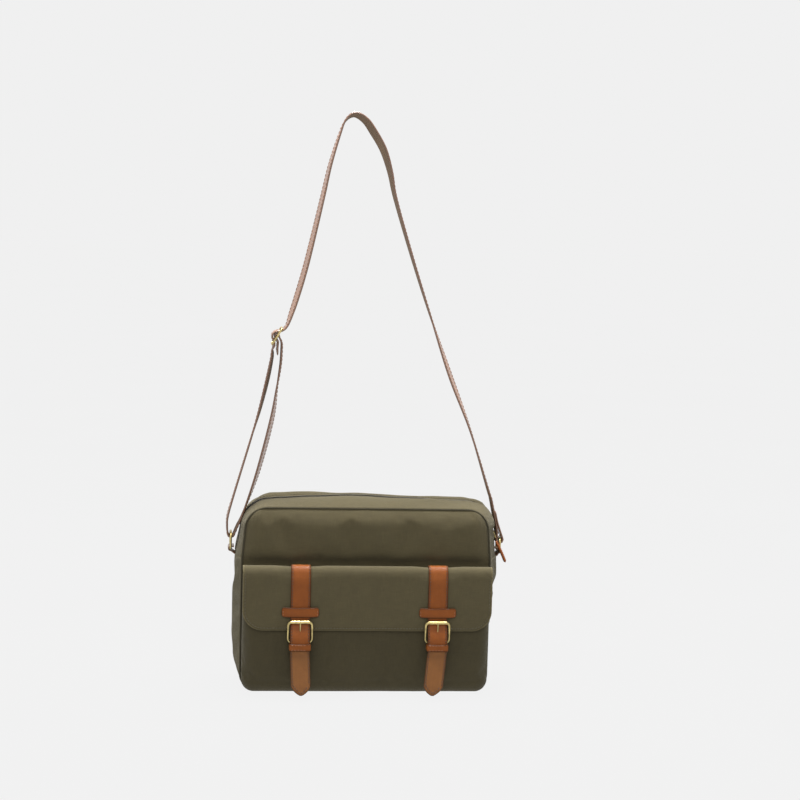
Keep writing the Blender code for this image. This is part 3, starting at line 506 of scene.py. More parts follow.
def settle(piece, held, pressure, slack, cap, weight=0.0, bending=2.0, frames=20):
    """Lets a sheet with some slack billow and crease in a short cloth simulation.

    held(point) is 1 where it stays, and cap is the most that any point moves.
    """
    mesh = piece.data
    start = np.array([v.co for v in mesh.vertices])
    group = piece.vertex_groups.new(name="held")
    for i, point in enumerate(start):
        group.add([i], held(point), "REPLACE")
    cloth = piece.modifiers.new("cloth", "CLOTH")
    settings = cloth.settings
    settings.quality = 6
    settings.mass = 0.3
    settings.tension_stiffness = 20.0
    settings.compression_stiffness = 20.0
    settings.shear_stiffness = 8.0
    settings.bending_stiffness = bending
    settings.air_damping = 4.0
    settings.use_pressure = True
    settings.uniform_pressure_force = pressure
    settings.shrink_min = -slack
    settings.shrink_max = -slack
    settings.vertex_group_mass = "held"
    settings.effector_weights.gravity = weight
    cloth.point_cache.frame_start = 1
    cloth.point_cache.frame_end = frames
    for step in range(1, frames + 1):
        bpy.context.scene.frame_set(step)
    graph = bpy.context.evaluated_depsgraph_get()
    moved = np.array([v.co for v in piece.evaluated_get(graph).data.vertices]) - start
    far = np.linalg.norm(moved, axis=1, keepdims=True)
    moved *= np.minimum(1.0, cap / np.maximum(far, 1e-9))
    settled = start + moved
    settled[:, 2] = np.maximum(settled[:, 2], start[:, 2].min())
    mesh.vertices.foreach_set("co", settled.ravel())
    piece.modifiers.clear()
    piece.vertex_groups.clear()
    bpy.context.scene.frame_set(1)
    mesh.update()
    return piece


def smooth_path(points, spacing):
    """A Catmull-Rom line through points, sampled about every spacing."""
    knots = [np.array(p, dtype=float) for p in points]
    knots = [2 * knots[0] - knots[1], *knots, 2 * knots[-1] - knots[-2]]
    line = []
    for a, b, c, d in zip(knots, knots[1:], knots[2:], knots[3:]):
        steps = max(1, round(np.linalg.norm(c - b) / spacing))
        for i in range(steps):
            t = i / steps
            line.append(0.5 * (2 * b + (c - a) * t + (2 * a - 5 * b + 4 * c - d) * t**2
                               + (3 * b - a - 3 * c + d) * t**3))
    return [Vector(p) for p in line] + [Vector(knots[-2])]


def directions(points, closed=False):
    """Unit tangents along a line."""
    count = len(points)
    made = []
    for i in range(count):
        before = points[(i - 1) % count] if closed or i else points[0]
        after = points[(i + 1) % count] if closed or i < count - 1 else points[-1]
        made.append((Vector(after) - Vector(before)).normalized())
    return made


def distances(line):
    """The distance covered at each point of a line."""
    return list(accumulate((b - a).length for a, b in zip(line[:1] + line, line)))


def per_point(value, line):
    """A value for each point of a line, from one value or from a list of them."""
    return value if isinstance(value, list) else [value] * len(line)


def strap_section(width, thickness):
    """Half-rounded section of a strap: (across, up, distance from the side) round its outline."""
    edge = thickness / 2
    flat = width / 2 - edge
    across = [-1.0, -0.8, -0.45, 0.0, 0.45, 0.8, 1.0]
    top = [(flat * s, edge * (1.0 + 0.05 * (1 - s * s)), 0) for s in across]
    right = [(flat + edge * cos(a), edge * sin(a), 1) for a in (radians(45), 0.0, radians(-45))]
    bottom = [(flat * s, -edge, 0) for s in across[::-1]]
    left = [(-flat + edge * cos(a), edge * sin(a), 1) for a in (radians(225), radians(180), radians(135))]
    outline = []
    for x, up, side in top + right + bottom + left:
        outline.append((x, up, 0.0 if side else width / 2 - abs(x) - edge * 0.6))
    return outline


UNDERSIDE = range(10, 16)     # the faces of strap_section's lower side


def strap(name, line, across, width, thickness, slot, ends="lr", under=None):
    """A leather strap along a line.

    across is one vector or one per point, and width is a number or one per point. under is the material of
    its lower side.
    """
    count = len(line)
    travelled = distances(line)
    points, uvs, rims = [], [], []
    stations = zip(line, directions(line), travelled, per_point(across, line), per_point(width, line))
    for centre, tangent, place, side, wide in stations:
        side = Vector(side).normalized()
        normal = side.cross(tangent).normalized()
        end_distance = FAR
        if "l" in ends:
            end_distance = min(end_distance, place)
        if "r" in ends:
            end_distance = min(end_distance, travelled[-1] - place)
        round_off = min(1.0, sqrt(max(0.0, end_distance) / (thickness * 0.5)) * 0.6 + 0.4)
        for x, up, rim in strap_section(wide, thickness):
            points.append(centre + side * x + normal * up * round_off)
            uvs.append((x, place))
            rims.append(min(rim, end_distance))
    ring = len(points) // count
    piece = add_mesh(name, points, ring_faces(0, count, ring), uvs, rims, slot)
    if under:
        piece.data.materials.append(under)
        for polygon in piece.data.polygons[:(count - 1) * ring]:
            if polygon.index % ring in UNDERSIDE:
                polygon.material_index = 1
    return piece


def ring_faces(first, rings, sides):
    """The faces of a closed stack of rings of points, numbered from first."""
    faces = []
    for ring in range(rings - 1):
        low = first + ring * sides
        for j in range(sides):
            k = (j + 1) % sides
            faces.append((low + j, low + k, low + sides + k, low + sides + j))
    faces.append(tuple(first + j for j in range(sides))[::-1])
    faces.append(tuple(first + (rings - 1) * sides + j for j in range(sides)))
    return faces


def tube(name, line, radius, slot, closed=False, sides=12, flatten=None):
    """A round wire along a line. flatten(i) gives the section's two half widths at a point."""
    tangents = directions(line, closed)
    normal = tangents[0].orthogonal().normalized()
    points, uvs = [], []
    for i, (centre, tangent, place) in enumerate(zip(line, tangents, distances(line))):
        normal = (normal - tangent * normal.dot(tangent)).normalized()
        other = tangent.cross(normal)
        wide, deep = flatten(i) if flatten else (radius, radius)
        for j in range(sides):
            angle = tau * j / sides
            points.append(centre + normal * wide * cos(angle) + other * deep * sin(angle))
            uvs.append((radius * angle, place))
    faces = ring_faces(0, len(line), sides)
    if closed:
        last = (len(line) - 1) * sides
        faces[-2:] = [(last + j, last + (j + 1) % sides, (j + 1) % sides, j) for j in range(sides)]
    return add_mesh(name, points, faces, uvs, [FAR] * len(points), slot)


def stitches(name, lines, material, slot, radius=THREAD, length=STITCH, gap=STITCH_GAP):
    """Rows of thread dashes. Each line is a list of (point, surface normal)."""
    sides = 6
    sections = ((-0.5, 0.35), (-0.38, 0.9), (0.38, 0.9), (0.5, 0.35))    # (place along a dash, size)
    points, faces, uvs = [], [], []
    for line in lines:
        travelled = 0.0
        start = None
        for (a, up_a), (b, _) in zip(line, line[1:]):
            if start is None:
                start = Vector(a)
            travelled += (Vector(b) - Vector(a)).length
            if travelled < length + gap:
                continue
            run = Vector(b) - start
            direction = run.normalized()
            up = Vector(up_a).normalized()
            side = direction.cross(up).normalized()
            centre = start + run * (length / (length + gap)) / 2 + up * radius * THREAD_RISE
            first = len(points)
            for along, size in sections:
                for j in range(sides):
                    angle = tau * j / sides
                    offset = side * cos(angle) * 1.25 + up * sin(angle)
                    points.append(centre + direction * along * length + offset * radius * size)
                    uvs.append((along * length, radius * angle))
            faces.extend(ring_faces(first, len(sections), sides))
            travelled = 0.0
            start = Vector(b)
    return add_mesh(name, points, faces, uvs, [FAR] * len(points), slot, material)


def subdivide(line, spacing, closed=False):
    """A line's points with more between them, about spacing apart."""
    points = [Vector(p) for p in line]
    fine = []
    for a, b in zip(points, points[1:] + points[:1] if closed else points[1:]):
        steps = max(1, round((b - a).length / spacing))
        fine.extend(a.lerp(b, i / steps) for i in range(steps))
    return fine if closed else fine + [points[-1]]


def densify(row, spacing=0.0006):
    """A (point, normal) row sampled finely, so that stitches come out even."""
    fine = []
    for (a, up), (b, _) in zip(row, row[1:]):
        fine.extend((point, up) for point in subdivide([a, b], spacing)[:-1])
    return fine


def strap_rows(line, across, width, thickness, inset=STITCH_INSET):
    """Two stitch lines along a strap's outer face, for stitches()."""
    reach = width / 2 - inset
    rows = []
    for sign in (-1, 1):
        row = []
        for centre, tangent, side in zip(line, directions(line), per_point(across, line)):
            side = Vector(side)
            normal = side.cross(tangent).normalized()
            row.append((centre + side * sign * reach + normal * thickness / 2, normal))
        rows.append(row)
    return rows


def ride_all(body, *pieces):
    for piece in pieces:
        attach(piece, body)


def blend_all(first, second, start, end, *pieces):
    for piece in pieces:
        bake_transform(piece)


# ---- shapes of the bag ----
def between(value, stops):
    """Smooth steps through (place, amount) stops."""
    if value <= stops[0][0]:
        return stops[0][1]
    for (x0, y0), (x1, y1) in zip(stops, stops[1:]):
        if value <= x1:
            share = (value - x0) / (x1 - x0)
            return y0 + (y1 - y0) * share * share * (3 - 2 * share)
    return stops[-1][1]


def ripple(point, size, depth, seed=0.0):
    """Soft uneven waves of about that size."""
    return depth * noise.noise(Vector(point) / size + Vector((seed, seed * 1.7, seed * 0.6)))


def corner(cx, cz, radius, start, end, steps=14):
    """Stations round a corner: (point, outward direction), from angle start to angle end in degrees."""
    stations = []
    for i in range(steps + 1):
        angle = radians(start + (end - start) * i / steps)
        outward = Vector((cos(angle), 0, sin(angle)))
        stations.append((Vector((cx, 0, cz)) + outward * radius, outward))
    return stations


def side_run(sign, bottom, top, steps, top_x=HALF_WIDTH):
    """Stations up one side."""
    outward = Vector((sign, 0, 0))
    stations = []
    for i in range(steps + 1):
        share = i / steps
        x = HALF_WIDTH + (top_x - HALF_WIDTH) * share
        stations.append((Vector((sign * x, 0, bottom + (top - bottom) * share)), outward))
    return stations


def straight(first, last, steps):
    """Stations strictly between two stations along the base or the top."""
    return [(first[0].lerp(last[0], i / steps), first[1]) for i in range(1, steps)]


def lower_route():
    """The side gusset's stations: down the left side, along the base and up the right side."""
    left = side_run(-1.0, BASE_RADIUS, SEAM_Z, 30)[::-1]
    right = side_run(1.0, BASE_RADIUS, SEAM_Z, 30)
    base_left = corner(-BASE_X, BASE_RADIUS, BASE_RADIUS, 180, 270)
    base_right = corner(BASE_X, BASE_RADIUS, BASE_RADIUS, 270, 360)
    return left[:-1] + base_left + straight(base_left[-1], base_right[0], 40) + base_right + right[1:]


def upper_route():
    """The top gusset's stations: up the right side, over the top and down the left side."""
    right = side_run(1.0, SEAM_Z, CORNER_Z, 10, TOP_HALF_WIDTH)
    left = side_run(-1.0, SEAM_Z, CORNER_Z, 10, TOP_HALF_WIDTH)[::-1]
    top_right = corner(CORNER_X, CORNER_Z, TOP_RADIUS, 0, 90)
    top_left = corner(-CORNER_X, CORNER_Z, TOP_RADIUS, 90, 180)
    return right[:-1] + top_right + straight(top_right[-1], top_left[0], 56) + top_left + left[1:]


def swell_at(point, facing=0.0):
    """How far the gusset swells beyond its seams at a station of its route."""
    on_left = point.x < 0
    from_corner = CORNER_X + CORNER_MIDDLE - abs(point.x)
    if point.z > CORNER_Z and from_corner > 0:
        front = between(point.x, FRONT_TOP_SWELL)
        back = between(point.x, BACK_TOP_SWELL)
        top = front + (back - front) * (facing + 1) / 2
        corner_swell = LEFT_CORNER_SWELL if on_left else RIGHT_SWELL[-1][1]
        return corner_swell + (top - corner_swell) * min(1.0, from_corner / 0.012)
    if point.z > CORNER_Z and on_left:
        rise = (point.z - CORNER_Z) / CORNER_MIDDLE
        return LEFT_SWELL[-1][1] + (LEFT_CORNER_SWELL - LEFT_SWELL[-1][1]) * min(1.0, rise)
    return between(point.z, LEFT_SWELL if on_left else RIGHT_SWELL)


def crown(y):
    """Section of the swell across the gusset: full over the middle and nothing at the seams."""
    return sin(pi / 2 * min(1.0, 1.35 * max(0.0, 1 - abs(y) / GUSSET_EDGE)))


def panel_half_width(z, inset):
    """Half the width of a panel at a height, inset from its seam."""
    straight_x = HALF_WIDTH
    if z > SEAM_Z:
        lean = min(1.0, (z - SEAM_Z) / (CORNER_Z - SEAM_Z))
        straight_x = HALF_WIDTH + (TOP_HALF_WIDTH - HALF_WIDTH) * lean
    if z > CORNER_Z:
        radius = TOP_RADIUS - inset
        return CORNER_X + sqrt(max(0.0, radius**2 - (z - CORNER_Z) ** 2))
    if z < BASE_RADIUS:
        radius = BASE_RADIUS - inset
        return BASE_X + sqrt(max(0.0, radius**2 - (BASE_RADIUS - z) ** 2))
    return straight_x - inset


def panel_heights(inset):
    """Heights of a panel's rows from the top down, close together round the corners."""
    top = [CORNER_Z + (TOP_RADIUS - inset) * cos(pi / 2 * i / 12) for i in range(12)]
    sides = [CORNER_Z + (BASE_RADIUS - CORNER_Z) * i / 40 for i in range(40)]
    base = [BASE_RADIUS - (BASE_RADIUS - inset) * sin(pi / 2 * i / 9) for i in range(10)]
    return top + sides + base


def panel_depth(x, z, facing):
    """How far out a panel's face lies: it rolls over at its seams and swells between them."""
    edge = min(panel_half_width(z, 0.0) - abs(x), TOP_Z - z, z)
    roll = 1 - (1 - min(1.0, max(0.0, edge) / PANEL_ROLL)) ** 2.2
    swell = between(z, FRONT_PANEL_SWELL) if facing < 0 else BACK_PANEL_SWELL
    waves = ripple((x * 0.8 + z * 0.5, 0, z), 0.066, 0.0022, 3.0 * facing)
    waves += ripple((x + z, 0, (x - z) * 0.35), 0.042, 0.0016, 11.0)
    waves += ripple((x, 0, z * 1.5), 0.022, 0.0004, 7.0)
    quiet = 1.0 if facing > 0 else min(1.0, max(0.0, 1 - (SHELF_Z - z) / 0.010))
    return PANEL_Y + swell * roll + waves * roll * quiet


def build_panel(end):
    """The front or back panel, full between its seams."""
    facing = FACING[end]
    rows = []
    for z in panel_heights(PANEL_INSET):
        half = panel_half_width(z, PANEL_INSET)
        places = half * np.linspace(-1, 1, 80)
        rows.append([(x, facing * panel_depth(x, z, facing), z) for x in places])
    panel = grid_sheet(f"{end}_cloth", rows, "canvas", flip=facing > 0, rim_sides="")

    def held(point):
        edge = min(panel_half_width(point[2], 0.0) - abs(point[0]), TOP_Z - point[2], point[2])
        low = facing < 0 and point[2] < SHELF_Z - 0.002
        return 1.0 if low else grip(edge, 0.006, 0.7, 0.03)

    settle(panel, held, pressure=0.5, slack=0.004, cap=0.0012, bending=12.0)
    thicken(panel, CANVAS)
    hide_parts(f"{end}_panel")
    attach(panel, "bag")


def seam_loop(inset, y):
    """Points round a panel's seam."""
    heights = [TOP_Z - inset] + panel_heights(inset)[1:-1] + [inset]
    right = [Vector((panel_half_width(z, inset), y, z)) for z in heights]
    left = [Vector((-p.x, y, p.z)) for p in right[::-1]]
    base = [Vector((x, y, inset)) for x in np.linspace(BASE_X, -BASE_X, 30)[1:-1]]
    top = [Vector((x, y, TOP_Z - inset)) for x in np.linspace(-CORNER_X, CORNER_X, 30)[1:-1]]
    return right + base + left + top


def build_piping(end):
    """Corded piping round a panel."""
    facing = FACING[end]
    line = seam_loop(PIPING_INSET, facing * PIPING_Y)
    line = [p + Vector((0, facing * ripple(p, 0.03, 0.0003, 5.0), 0)) for p in line]
    piping = tube(f"{end}_piping_cord", line, PIPING_RADIUS, "piping", closed=True, sides=10)
    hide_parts(f"piping_{end}")
    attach(piping, "bag")


def build_side_gusset():
    """One strip down the left side, across the base and up the right side, fuller towards the back there."""
    rows = []
    for point, outward in lower_route():
        row = []
        for y in np.linspace(-GUSSET_EDGE, GUSSET_EDGE, 34):
            tilt = 1 + 0.5 * y / GUSSET_EDGE if point.x > 0 else 1.0
            swell = swell_at(point) * crown(y) * tilt
            waves = ripple((point.x, y, point.z * 0.6), 0.030, 0.0011, 2.0) * crown(y)
            on_floor = min(1.0, max(0.0, point.z) / 0.012)
            row.append(point + outward * (swell + waves * on_floor - UNDER_SEAM) + Vector((0, y, 0)))
        rows.append(row)
    gusset = grid_sheet("side_gusset_cloth", rows, "canvas", flip=True, rim_sides="ud")

    def held(point):
        edge = min(GUSSET_EDGE - abs(point[1]), SEAM_Z - point[2])
        return 1.0 if point[2] < 0.006 else grip(edge, 0.004, 0.6, 0.02)

    settle(gusset, held, pressure=0.3, slack=0.010, cap=0.0016, bending=6.0)
    thicken(gusset, CANVAS, rounded=0.0005)
    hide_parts("side_gusset")
    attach(gusset, "bag")


def build_top_gusset(end):
    """A crowned strip over the top, turned under and stitched beside the zip."""
    facing = FACING[end]
    rows = []
    for point, outward in upper_route():
        row = []
        for y in np.linspace(ZIP_EDGE, GUSSET_EDGE, 22):
            tilt = 1 + 0.5 * facing * y / GUSSET_EDGE if point.x > 0 and point.z < CORNER_Z else 1.0
            tuck = FOLD_RISE * max(0.0, 1 - (y - ZIP_EDGE) / 0.004) ** 2
            waves = ripple((point.x, facing * y, point.z), 0.034, 0.0012, 9.0 + facing) * crown(y)
            rise = swell_at(point, facing) * crown(y) * tilt + waves
            slope = between(y, [(ZIP_EDGE, 0.0), (CHANNEL_HALF_WIDTH, 1.0)])
            rise = (zip_rise_at(point) + FOLD_RISE) * (1 - slope) + rise * slope - tuck - UNDER_SEAM
            row.append(point + outward * rise + Vector((0, facing * y, 0)))
        rows.append(row)
    gusset = grid_sheet(f"top_{end}_cloth", rows, "canvas", flip=facing > 0, rim_sides="udl")
    thicken(gusset, CANVAS, rounded=0.0005)
    sewn_column = 2           # counted from the fold
    seam = [(row[sewn_column] + outward * 0.0001, outward) for row, (_, outward) in zip(rows, upper_route())]
    sewing = stitches(f"top_{end}_cloth_stitches", [densify(seam)], OLIVE_THREAD, "canvas")
    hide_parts(f"top_gusset_{end}")
    ride_all("bag", gusset, sewing)


# ---- zip ----
PULL = 0.0032                     # thickness of the folded pull
TAPE = 0.0007
TAPE_WIDTH = 0.0116
FULL_GUSSET = 0.0078              # the swell at which the zip lies at its full height
SLIDER_RUN = [(0.060, 1.0), (0.106, 0.0)]    # (x, share): no lift where the slider runs
TOOTH_PITCH = 0.0022
TOOTH_STEPS = 8                   # points along the zip per tooth
# A tooth's sections from its root to its head: (reach, half width, height).
TOOTH_SECTIONS = [(-0.0004, 0.00050, 0.0009), (0.0006, 0.00062, 0.0012), (0.0026, 0.00040, 0.0010)]
# The corners of each section: shares of its half width and of its height.
TOOTH_CORNERS = [(-1.0, -0.6), (1.0, -0.6), (0.72, 0.9), (-0.72, 0.9)]
TOOTH_LIFT = 0.0004


def zip_rise_at(point):
    """Height of the zip above the seams: it follows the gusset, except where the slider runs."""
    fullness = min(1.0, swell_at(point, 1.0) / FULL_GUSSET)
    rise = ZIP_RISE - ZIP_DIP * (1 - fullness)
    if point.z > TOP_Z - 0.0001:
        crest = min(between(point.x, FRONT_TOP_SWELL), between(point.x, BACK_TOP_SWELL))
        rise += max(0.0, crest - 0.0048) * between(point.x, SLIDER_RUN)
    return rise


def build_zip_tape(end):
    """One half of the zip's tape, from the teeth to under the gusset strip."""
    facing = FACING[end]
    rows = []
    for point, outward in upper_route():
        rows.append([point + outward * (zip_rise_at(point) - 0.0002) + Vector((0, facing * y, 0))
                     for y in np.linspace(0.0004, TAPE_WIDTH, 10)])
    tape = grid_sheet(f"tape_{end}", rows, "zip_tape", flip=facing > 0, rim_sides="ud")
    thicken(tape, TAPE)
    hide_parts(f"zip_tape_{end}")
    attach(tape, "bag")


def build_zip_teeth(end):
    """One row of rounded teeth, set half a pitch from the other row's."""
    facing = FACING[end]
    middles = [(point + outward * zip_rise_at(point), outward) for point, outward in upper_route()]
    line = densify(middles, TOOTH_PITCH / TOOTH_STEPS)
    side = Vector((0, facing, 0))
    points, faces, uvs = [], [], []
    offset = 0 if facing < 0 else TOOTH_STEPS // 2
    for i in range(offset, len(line) - TOOTH_STEPS, TOOTH_STEPS):
        place, up = line[i]
        along = (line[i + TOOTH_STEPS // 2][0] - place).normalized()
        faces.extend(ring_faces(len(points), len(TOOTH_SECTIONS), len(TOOTH_CORNERS)))
        for reach, half, height in TOOTH_SECTIONS:
            for wide, tall in TOOTH_CORNERS:
                rise = height * tall + TOOTH_LIFT
                points.append(place + side * reach + along * half * wide + up * rise)
                uvs.append((reach, half * wide))
    teeth = add_mesh(f"teeth_{end}", points, faces, uvs, [FAR] * len(points), "zip_teeth")
    teeth.data.set_sharp_from_angle(angle=radians(35))
    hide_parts(f"zip_teeth_{end}")
    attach(teeth, "bag")


def build_zip_ends():
    """A folded cloth tab over each end of the zip."""
    half = 0.0062
    for side, sign in SIGN.items():
        low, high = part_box(f"zip_end_{side}")
        x = (low.x + high.x) / 2
        section = [(x + sign * 0.0004 * (1 - (y / half) ** 2), y) for y in np.linspace(-half, half, 9)]
        rows = [[(out, y, z) for out, y in section] for z in np.linspace(high.z + 0.0006, low.z, 8)]
        tab = grid_sheet(f"zip_tab_{side}", rows, "canvas", flip=sign < 0)
        thicken(tab, 0.0012, rounded=0.0004)
        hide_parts(f"zip_end_{side}")
        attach(tab, "bag")


def build_zip_pull():
    """A folded leather tab, sewn along both sides, that hangs from the slider's link."""
    low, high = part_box("zip_pull")
    top = Vector((low.x + 0.0014, (low.y + high.y) / 2, high.z))
    foot = Vector((high.x - 0.0016, (low.y + high.y) / 2, low.z))
    shares = np.linspace(0, 1, 24)
    line = [top.lerp(foot, t) + Vector((0.0005 * sin(pi * t), 0, 0)) for t in shares]
    width = high.y - low.y
    widths = [width * min(1.0, 0.55 + 2.4 * t, 0.6 + 4.5 * (1 - t)) for t in shares]
    pull = strap("zip_pull_leather", line, (0, -1, 0), widths, PULL, "tan_leather")
    rows = strap_rows(subdivide(line, SEAM_STEP), (0, -1, 0), width * 0.9, PULL, inset=0.0014)
    sewing = stitches("zip_pull_stitches", rows, TAN_THREAD, "tan_leather", radius=FINE_THREAD,
                      length=0.0018, gap=0.0008)
    pull.data.materials[0] = PULL_LEATHER
    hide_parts("zip_pull")
    ride_all("zip_pull", pull, sewing)


# ---- front pocket ----
POCKET_EDGE = 0.016                          # radius of its front edges
POCKET_ROOT = 0.0482                         # where its walls are sewn to the front panel
POCKET_ARC = POCKET_EDGE * pi / 2
POCKET_WALL = POCKET_FACE - POCKET_ROOT - POCKET_EDGE
POCKET_FLAT_HALF = POCKET_HALF_WIDTH - POCKET_EDGE
POCKET_FLAT_LOW = POCKET_LOW + POCKET_EDGE
UNDER_FLAP = 0.078                           # the face lies still above this, behind the flap


def pocket_point(across, up):
    """Folds flat pattern coordinates into a tray: a face whose margins turn back round its edges."""
    x = max(-POCKET_FLAT_HALF, min(POCKET_FLAT_HALF, across))
    z = max(POCKET_FLAT_LOW, up)
    dx = max(0.0, abs(across) - POCKET_FLAT_HALF)
    dz = max(0.0, POCKET_FLAT_LOW - up)
    far = max(dx, dz)
    lean = 0.0058 * max(0.0, 1 - z / 0.095) ** 1.3
    belly = 0.0010 * sin(pi * min(1.0, z / 0.125)) * max(0.0, 1 - (x / POCKET_HALF_WIDTH) ** 4)
    waves = ripple((x, 0, z * 0.8), 0.045, 0.0011, 12.0) + ripple((x * 1.4, 0, z), 0.020, 0.0004, 4.0)
    if z > UNDER_FLAP:
        waves *= max(0.0, 1 - (z - UNDER_FLAP) / 0.015)
    y = -POCKET_FACE + 0.0008 + lean - belly - waves
    if far <= 0:
        return Vector((x, y, z))
    angle = pi / 4 * dz / dx if dx >= dz else pi / 2 - pi / 4 * dx / dz
    turn = min(1.0, far / POCKET_ARC) * pi / 2
    reach = POCKET_EDGE * sin(turn)
    wall = (-POCKET_ROOT - POCKET_EDGE - y) * max(0.0, far - POCKET_ARC) / POCKET_WALL
    back = POCKET_EDGE * (1 - cos(turn)) + wall
    sign = 1.0 if across > 0 else -1.0
    return Vector((x + sign * reach * cos(angle), y + back, z - reach * sin(angle)))


def build_front_pocket():
    """The bulky pocket: one cloth folded back over its front edges and open at its mouth."""
    depth = POCKET_ARC + POCKET_WALL
    half, low = POCKET_FLAT_HALF, POCKET_FLAT_LOW
    columns = np.concatenate([np.linspace(-half - depth, -half, 15)[:-1],
                              np.linspace(-half, half, 74),
                              np.linspace(half, half + depth, 15)[1:]])
    ups = np.concatenate([np.linspace(POCKET_TOP, low, 38)[:-1], np.linspace(low, low - depth, 15)])
    rows = [[pocket_point(a, up) for a in columns] for up in ups]
    pocket = grid_sheet("front_pocket_cloth", rows, "canvas", rim_sides="u")

    def held(point):
        by_panel = point[1] > -0.056
        near_flap = grip(UNDER_FLAP + 0.004 - point[2], 0.0, 0.5, 0.03)
        low_edge = min(1.0, (0.022 - point[2]) / 0.012)
        return 1.0 if by_panel else max(near_flap, low_edge)

    settle(pocket, held, pressure=0.4, slack=0.010, cap=0.0018, weight=0.3)
    thicken(pocket, CANVAS, rounded=0.0004)
    # The darker copy of the canvas paints shade on the pocket.
    pocket.data.materials[0] = SHADE_DARKENED_POCKET_CANVAS
    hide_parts("front_pocket")
    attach(pocket, "bag")


# ---- flap ----
FLAP_PROFILE = [(-0.0486, 0.1590), (-0.0545, 0.1615), (-0.0620, 0.1652), (-0.0690, 0.1672)]
FLAP_PROFILE += [(-0.0742, 0.1660), (-0.0774, 0.1620), (-0.0787, 0.1560), (-FLAP_FACE, 0.1480)]
FLAP_PROFILE += [(-FLAP_FACE, 0.1250), (-FLAP_FACE, 0.1080), (-FLAP_FACE, FLAP_BOTTOM)]
CURL = 14                     # steps round a lower corner of the flap
LOOSE_TOP = 0.158             # the flap hangs loose below this


def flap_line(spacing=0.0022):
    """The flap's outer face from its seam, over the fold and down, as (y, z) points."""
    return [(p.y, p.z) for p in smooth_path([(0, y, z) for y, z in FLAP_PROFILE], spacing)]


def near_strap(x):
    """1 under the buckle straps and their keepers, 0 well away from them."""
    away = min(abs(x - STRAP_X["left"]), abs(x - STRAP_X["right"]))
    return max(0.0, min(1.0, 1.6 - away / 0.020))


def flap_wave(x, z):
    """How far the flap's loose part waves outward."""
    loose = 1 - near_strap(x)
    low = min(1.0, max(0.0, (LOOSE_TOP - z) / 0.030))
    drift = ripple((x, 0, z * 0.7), 0.048, 0.0010, 21.0) + ripple((x + z, 0, z - x), 0.021, 0.0003, 2.5)
    return (drift + 0.0003) * loose * low


def profile_normals(line):
    """The outward normal at each (y, z) point of the flap's profile."""
    normals = []
    for i in range(len(line)):
        before, after = line[max(0, i - 1)], line[min(len(line) - 1, i + 1)]
        along = Vector((0, after[0] - before[0], after[1] - before[1]))
        normals.append(along.cross(Vector((1, 0, 0))).normalized())
    return normals


def strap_press(x, z):
    """How far a buckle strap presses the flap in over its fold."""
    return STRAP_PRESS * near_strap(x) * between(z, [(0.148, 0.0), (0.160, 1.0)])


def flap_half_width(z, inset):
    drop = max(0.0, FLAP_CORNER - (z - FLAP_BOTTOM - inset))
    narrow = FLAP_CORNER - sqrt(max(0.0, FLAP_CORNER**2 - min(FLAP_CORNER, drop) ** 2))
    return FLAP_HALF_WIDTH - inset - narrow


def flap_rows(inset, outward, columns=90):
    """Rows of one layer of the flap, outward metres from its outer face."""
    line = flap_line()
    low = FLAP_BOTTOM + inset
    straight_part = [p for p in line if p[1] > low + FLAP_CORNER or p[0] > -FLAP_FACE + 0.0001]
    curl = [(-FLAP_FACE, low + FLAP_CORNER * (1 - sin(pi / 2 * i / CURL))) for i in range(1, CURL + 1)]
    line = straight_part + curl
    rows = []
    for (y, z), normal in zip(line, profile_normals(line)):
        half = flap_half_width(z, inset) if y < -0.075 and z < 0.150 else FLAP_HALF_WIDTH - inset
        rows.append([Vector((x, y - flap_wave(x, z), z)) + normal * (outward - strap_press(x, z))
                     for x in np.linspace(-half, half, columns)])
    return rows


def flap_outline(inset):
    """The flap's free edge from the fold down one side, along the bottom and up the other, inset from it."""
    radius = FLAP_CORNER - inset
    sides = [LOOSE_TOP - 0.002 * i for i in range(24)]
    sides = [z for z in sides if z > FLAP_BOTTOM + FLAP_CORNER]
    curl = [FLAP_BOTTOM + inset + radius * (1 - sin(pi / 2 * i / CURL)) for i in range(CURL + 1)]
    left = []
    for z in sides + curl:
        drop = min(radius, max(0.0, FLAP_BOTTOM + FLAP_CORNER - z))
        x = -(FLAP_HALF_WIDTH - FLAP_CORNER + sqrt(max(0.0, radius**2 - drop**2)))
        left.append((x, z))
    right = [(-x, z) for x, z in left[::-1]]
    bottom = [(x, FLAP_BOTTOM + inset) for x in np.linspace(left[-1][0], right[0][0], 60)[1:-1]]
    edge = left + bottom + right
    return [(Vector((x, -FLAP_FACE - flap_wave(x, z), z)), FRONT) for x, z in edge]


def build_flap():
    """The flap: outer canvas with a turned, topstitched edge, and a lining behind it."""
    outer = grid_sheet("flap_cloth", flap_rows(0.0, 0.0), "canvas", rim_sides="dlr")
    thicken(outer, CANVAS, rounded=0.0006)
    lining = grid_sheet("flap_lining_cloth", flap_rows(0.0022, -CANVAS - 0.0001), "lining_cloth")
    thicken(lining, LINING)
    sewing = stitches("flap_stitches", [densify(flap_outline(0.0032))], OLIVE_THREAD, "canvas")
    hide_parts("flap", "flap_top")
    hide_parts("flap_lining")
    blend_all("bag", "flap", BLEND_START, BLEND_END, outer, lining, sewing)


# ---- buckle straps ----
def profile_at(x, lift):
    """The flap's profile at x, raised by lift."""
    line = flap_line(0.0016)
    raised = []
    for (y, z), normal in zip(line, profile_normals(line)):
        raised.append(Vector((x, y, z)) + normal * (lift - strap_press(x, z)))
    return raised[1:]


